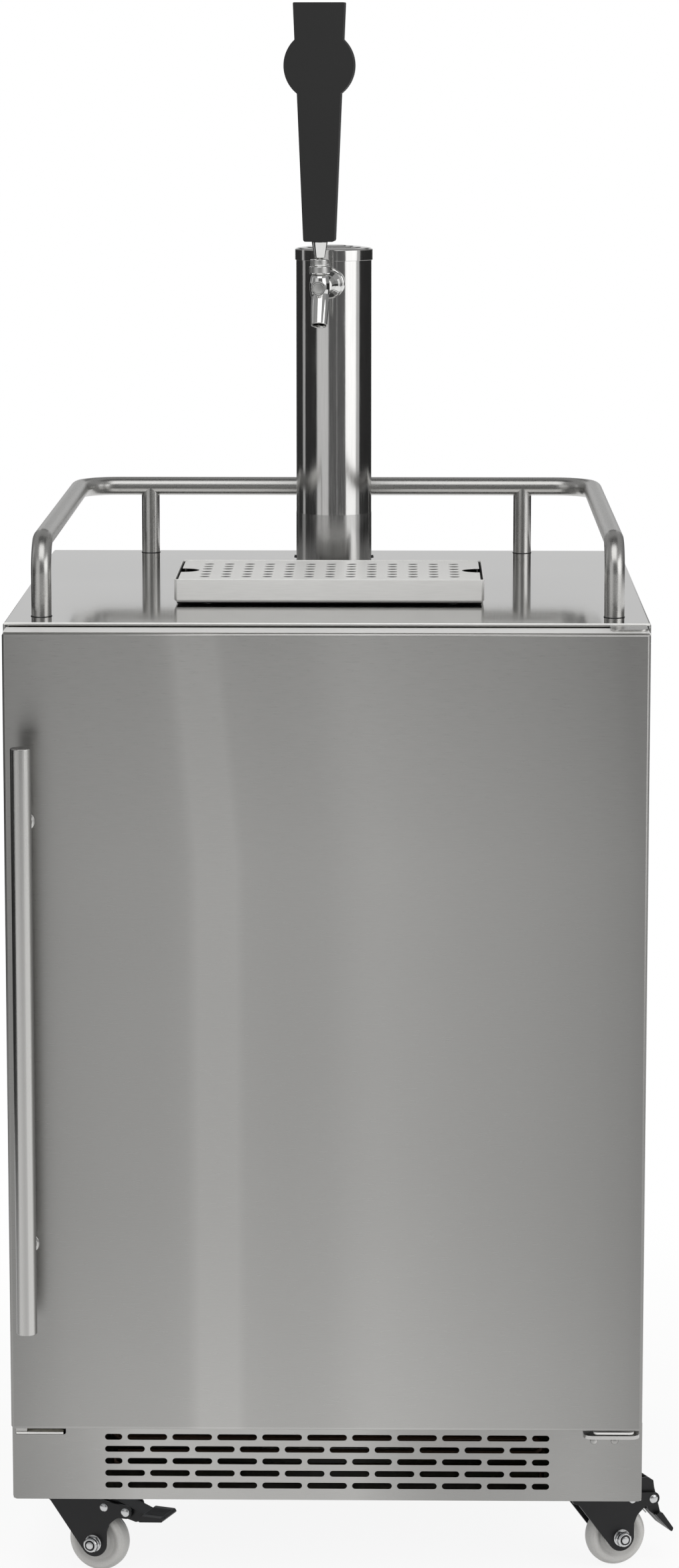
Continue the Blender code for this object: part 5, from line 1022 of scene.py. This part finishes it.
# %% Brake pedals
pedal_line = [(-0.0117, 0.0210), (-0.0150, 0.0184), (-0.0027, -0.0132), (0.0018, -0.0167), (0.0196, -0.0360),
              (0.0212, -0.0318), (0.0093, -0.0149), (0.0027, 0.0104), (0.0018, 0.0172), (-0.0040, 0.0210)]
back_edge = [(0.0190, -0.0348), (0.0076, -0.0156), (0.0009, 0.0098), (0.0001, 0.0160), (-0.0050, 0.0192)]
web_line = pedal_line[5:] + back_edge[::-1]
toe_line = [(0.0018, -0.0160), (0.0196, -0.0360), (0.0212, -0.0318), (0.0093, -0.0149), (0.0060, -0.0145)]
spring_leg = [(-0.0155, -0.0104), (-0.0100, -0.0140)], [(-0.0100, -0.0090), (-0.0037, -0.0160)]
for name, tip in (("front_left", -55), ("front_right", 0)):
    x, y, angle = caster_at[name]
    spot = Matrix.Translation(at(x, y)) @ Matrix.Rotation(math.radians(angle), 4, "Z")
    pivot = spot @ Matrix.Translation((0.065, 0, 0.065))
    swung = pivot @ Matrix.Rotation(math.radians(tip), 4, "Y") @ facing
    cheeks = [plate("cheek", filleted(pedal_line, 0.0015, 3, closed=True), low, low + 0.0020, swung, [ring_of((0, 0), 0.0039, 24)])
              for low in (-0.0110, 0.0090)]
    web = plate("web", filleted(web_line, 0.0008, 3, closed=True), -0.0095, 0.0095, swung)
    toe = plate("toe", filleted(toe_line, 0.0014, 4, closed=True), -0.0170, 0.0170, swung)
    show("pedal_" + name + "_pressed", united("pedal", [*cheeks, web, toe]), "pedal_" + name, fork_enamel,
         "brake_pedal_" + name, edge=0.0005)
    legs = [piped("leg", [pivot @ Vector((px, side * 0.0065, pz)) for px, pz in leg], 0.0006, 3)
            for leg, side in zip(spring_leg, (1, -1))]
    show("spring_" + name, united("spring", legs), "fork_" + name, cast_steel)
print("pedals: 2")

# %% [markdown]
# ## The back and the inside
# Sheets that come off for service are held by screws at a hand's breadth. Inside, the bottle of gas is spun from
# one tube, so its shoulder is a smooth curve, and the pressure gauge has a white dial behind its rim. A needle
# and plain ticks are all that the dial needs.

# %% Screws of the sheets that come off
backward = Matrix.Rotation(math.radians(-90), 4, "X")
rear_edge, back_low, back_high = half_width - 0.012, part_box("back_panel")[0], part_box("back_panel")[1]
cover_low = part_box("compressor_cover")[0]
rear_places = [(side * rear_edge, back_low.z + (back_high.z - back_low.z) * share)
               for side in (-1, 1) for share in (0.03, 0.34, 0.66, 0.97)]
rear_places += [(x, back_high.z - 0.012) for x in (-0.15, 0, 0.15)]
rear_places += [(side * rear_edge, z) for side in (-1, 1) for z in (cover_low.z + 0.012, back_low.z - 0.012)]
rear_places += [(x, back_low.z - 0.012) for x in (-0.15, 0, 0.15)]
screws("rear_sheet_screws", [Matrix.Translation(at(x, back_high.y - cabinet.y, z)) @ backward for x, z in rear_places],
       0.0042, 0.0018, "cabinet")
cooler_low, cooler_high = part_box("evaporator_cover")
inner_places = [Matrix.Translation((x, cooler_low.y, z)) @ facing for x in (cooler_low.x + 0.012, cooler_high.x - 0.012)
                for z in (cooler_low.z + 0.012, cooler_high.z - 0.012)]
box_low, box_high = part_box("thermostat_housing")
inner_places += [Matrix.Translation((x, box_low.y, (box_low.z + box_high.z) / 2)) @ facing
                 for x in (box_low.x + 0.010, box_high.x - 0.010)]
screws("inner_screws", inner_places, 0.0032, 0.0014, "cabinet")
print("sheet screws:", len(rear_places) + len(inner_places))

# %% Gas bottle and gauge
bottle_low, bottle_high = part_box("co2_bottle")
bottle_r, bottle_h = (bottle_high.x - bottle_low.x) / 2, bottle_high.z - bottle_low.z - 0.012
bottle = [(0, bottle_h + 0.012), (0.016, bottle_h + 0.012), (0.016, bottle_h - bottle_r * 0.03)]
bottle += [(bottle_r * wide, bottle_h - bottle_r * down) for wide, down in
           ((0.30, 0.05), (0.50, 0.11), (0.66, 0.20), (0.82, 0.32), (0.93, 0.48), (0.985, 0.64), (1.0, 0.82))]
bottle += [(bottle_r, bottle_r * 0.12), (bottle_r * 0.88, 0), (0, 0)]
bottle_spot = Matrix.Translation(((bottle_low.x + bottle_high.x) / 2, (bottle_low.y + bottle_high.y) / 2, bottle_low.z))
show("gas_bottle", spun("gas_bottle", filleted(bottle, 0.006, 4), bottle_spot, 72), "cabinet", bottle_grey,
     "co2_bottle")
gauge_low, gauge_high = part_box("regulator")
gauge_spot = Matrix.Translation((bottle_spot.translation.x - 0.049, bottle_spot.translation.y - 0.0065,
                                 gauge_high.z - 0.020)) @ facing
rim = [(0.0168, 0), (0.0199, 0), (0.0199, 0.0016), (0.0186, 0.0030), (0.0174, 0.0030), (0.0168, 0.0016)]
show("gauge_rim", spun("gauge_rim", filleted(rim, 0.0005, 2, closed=True), gauge_spot, 56, ring=True), "cabinet", chrome)
show("gauge_dial", spun("gauge_dial", [(0, 0.0008), (0.0167, 0.0008), (0.0167, 0.0001), (0, 0.0001)], gauge_spot, 56),
     "cabinet", liner_white)
marks = [plate("needle", [(-0.0006, -0.003), (0.0006, -0.003), (0.0002, 0.012), (-0.0002, 0.012)], 0.0011, 0.0014,
               gauge_spot @ Matrix.Rotation(math.radians(38), 4, "Z"))]
marks += [plate("tick", [(-0.0003, 0.0128), (0.0003, 0.0128), (0.0003, 0.0152), (-0.0003, 0.0152)], 0.0009, 0.0011,
                gauge_spot @ Matrix.Rotation(math.radians(turn), 4, "Z")) for turn in range(-135, 136, 27)]
show("gauge_marks", united("gauge_marks", marks), "cabinet", knob_black)
print("bottle radius:", round(bottle_r, 4))
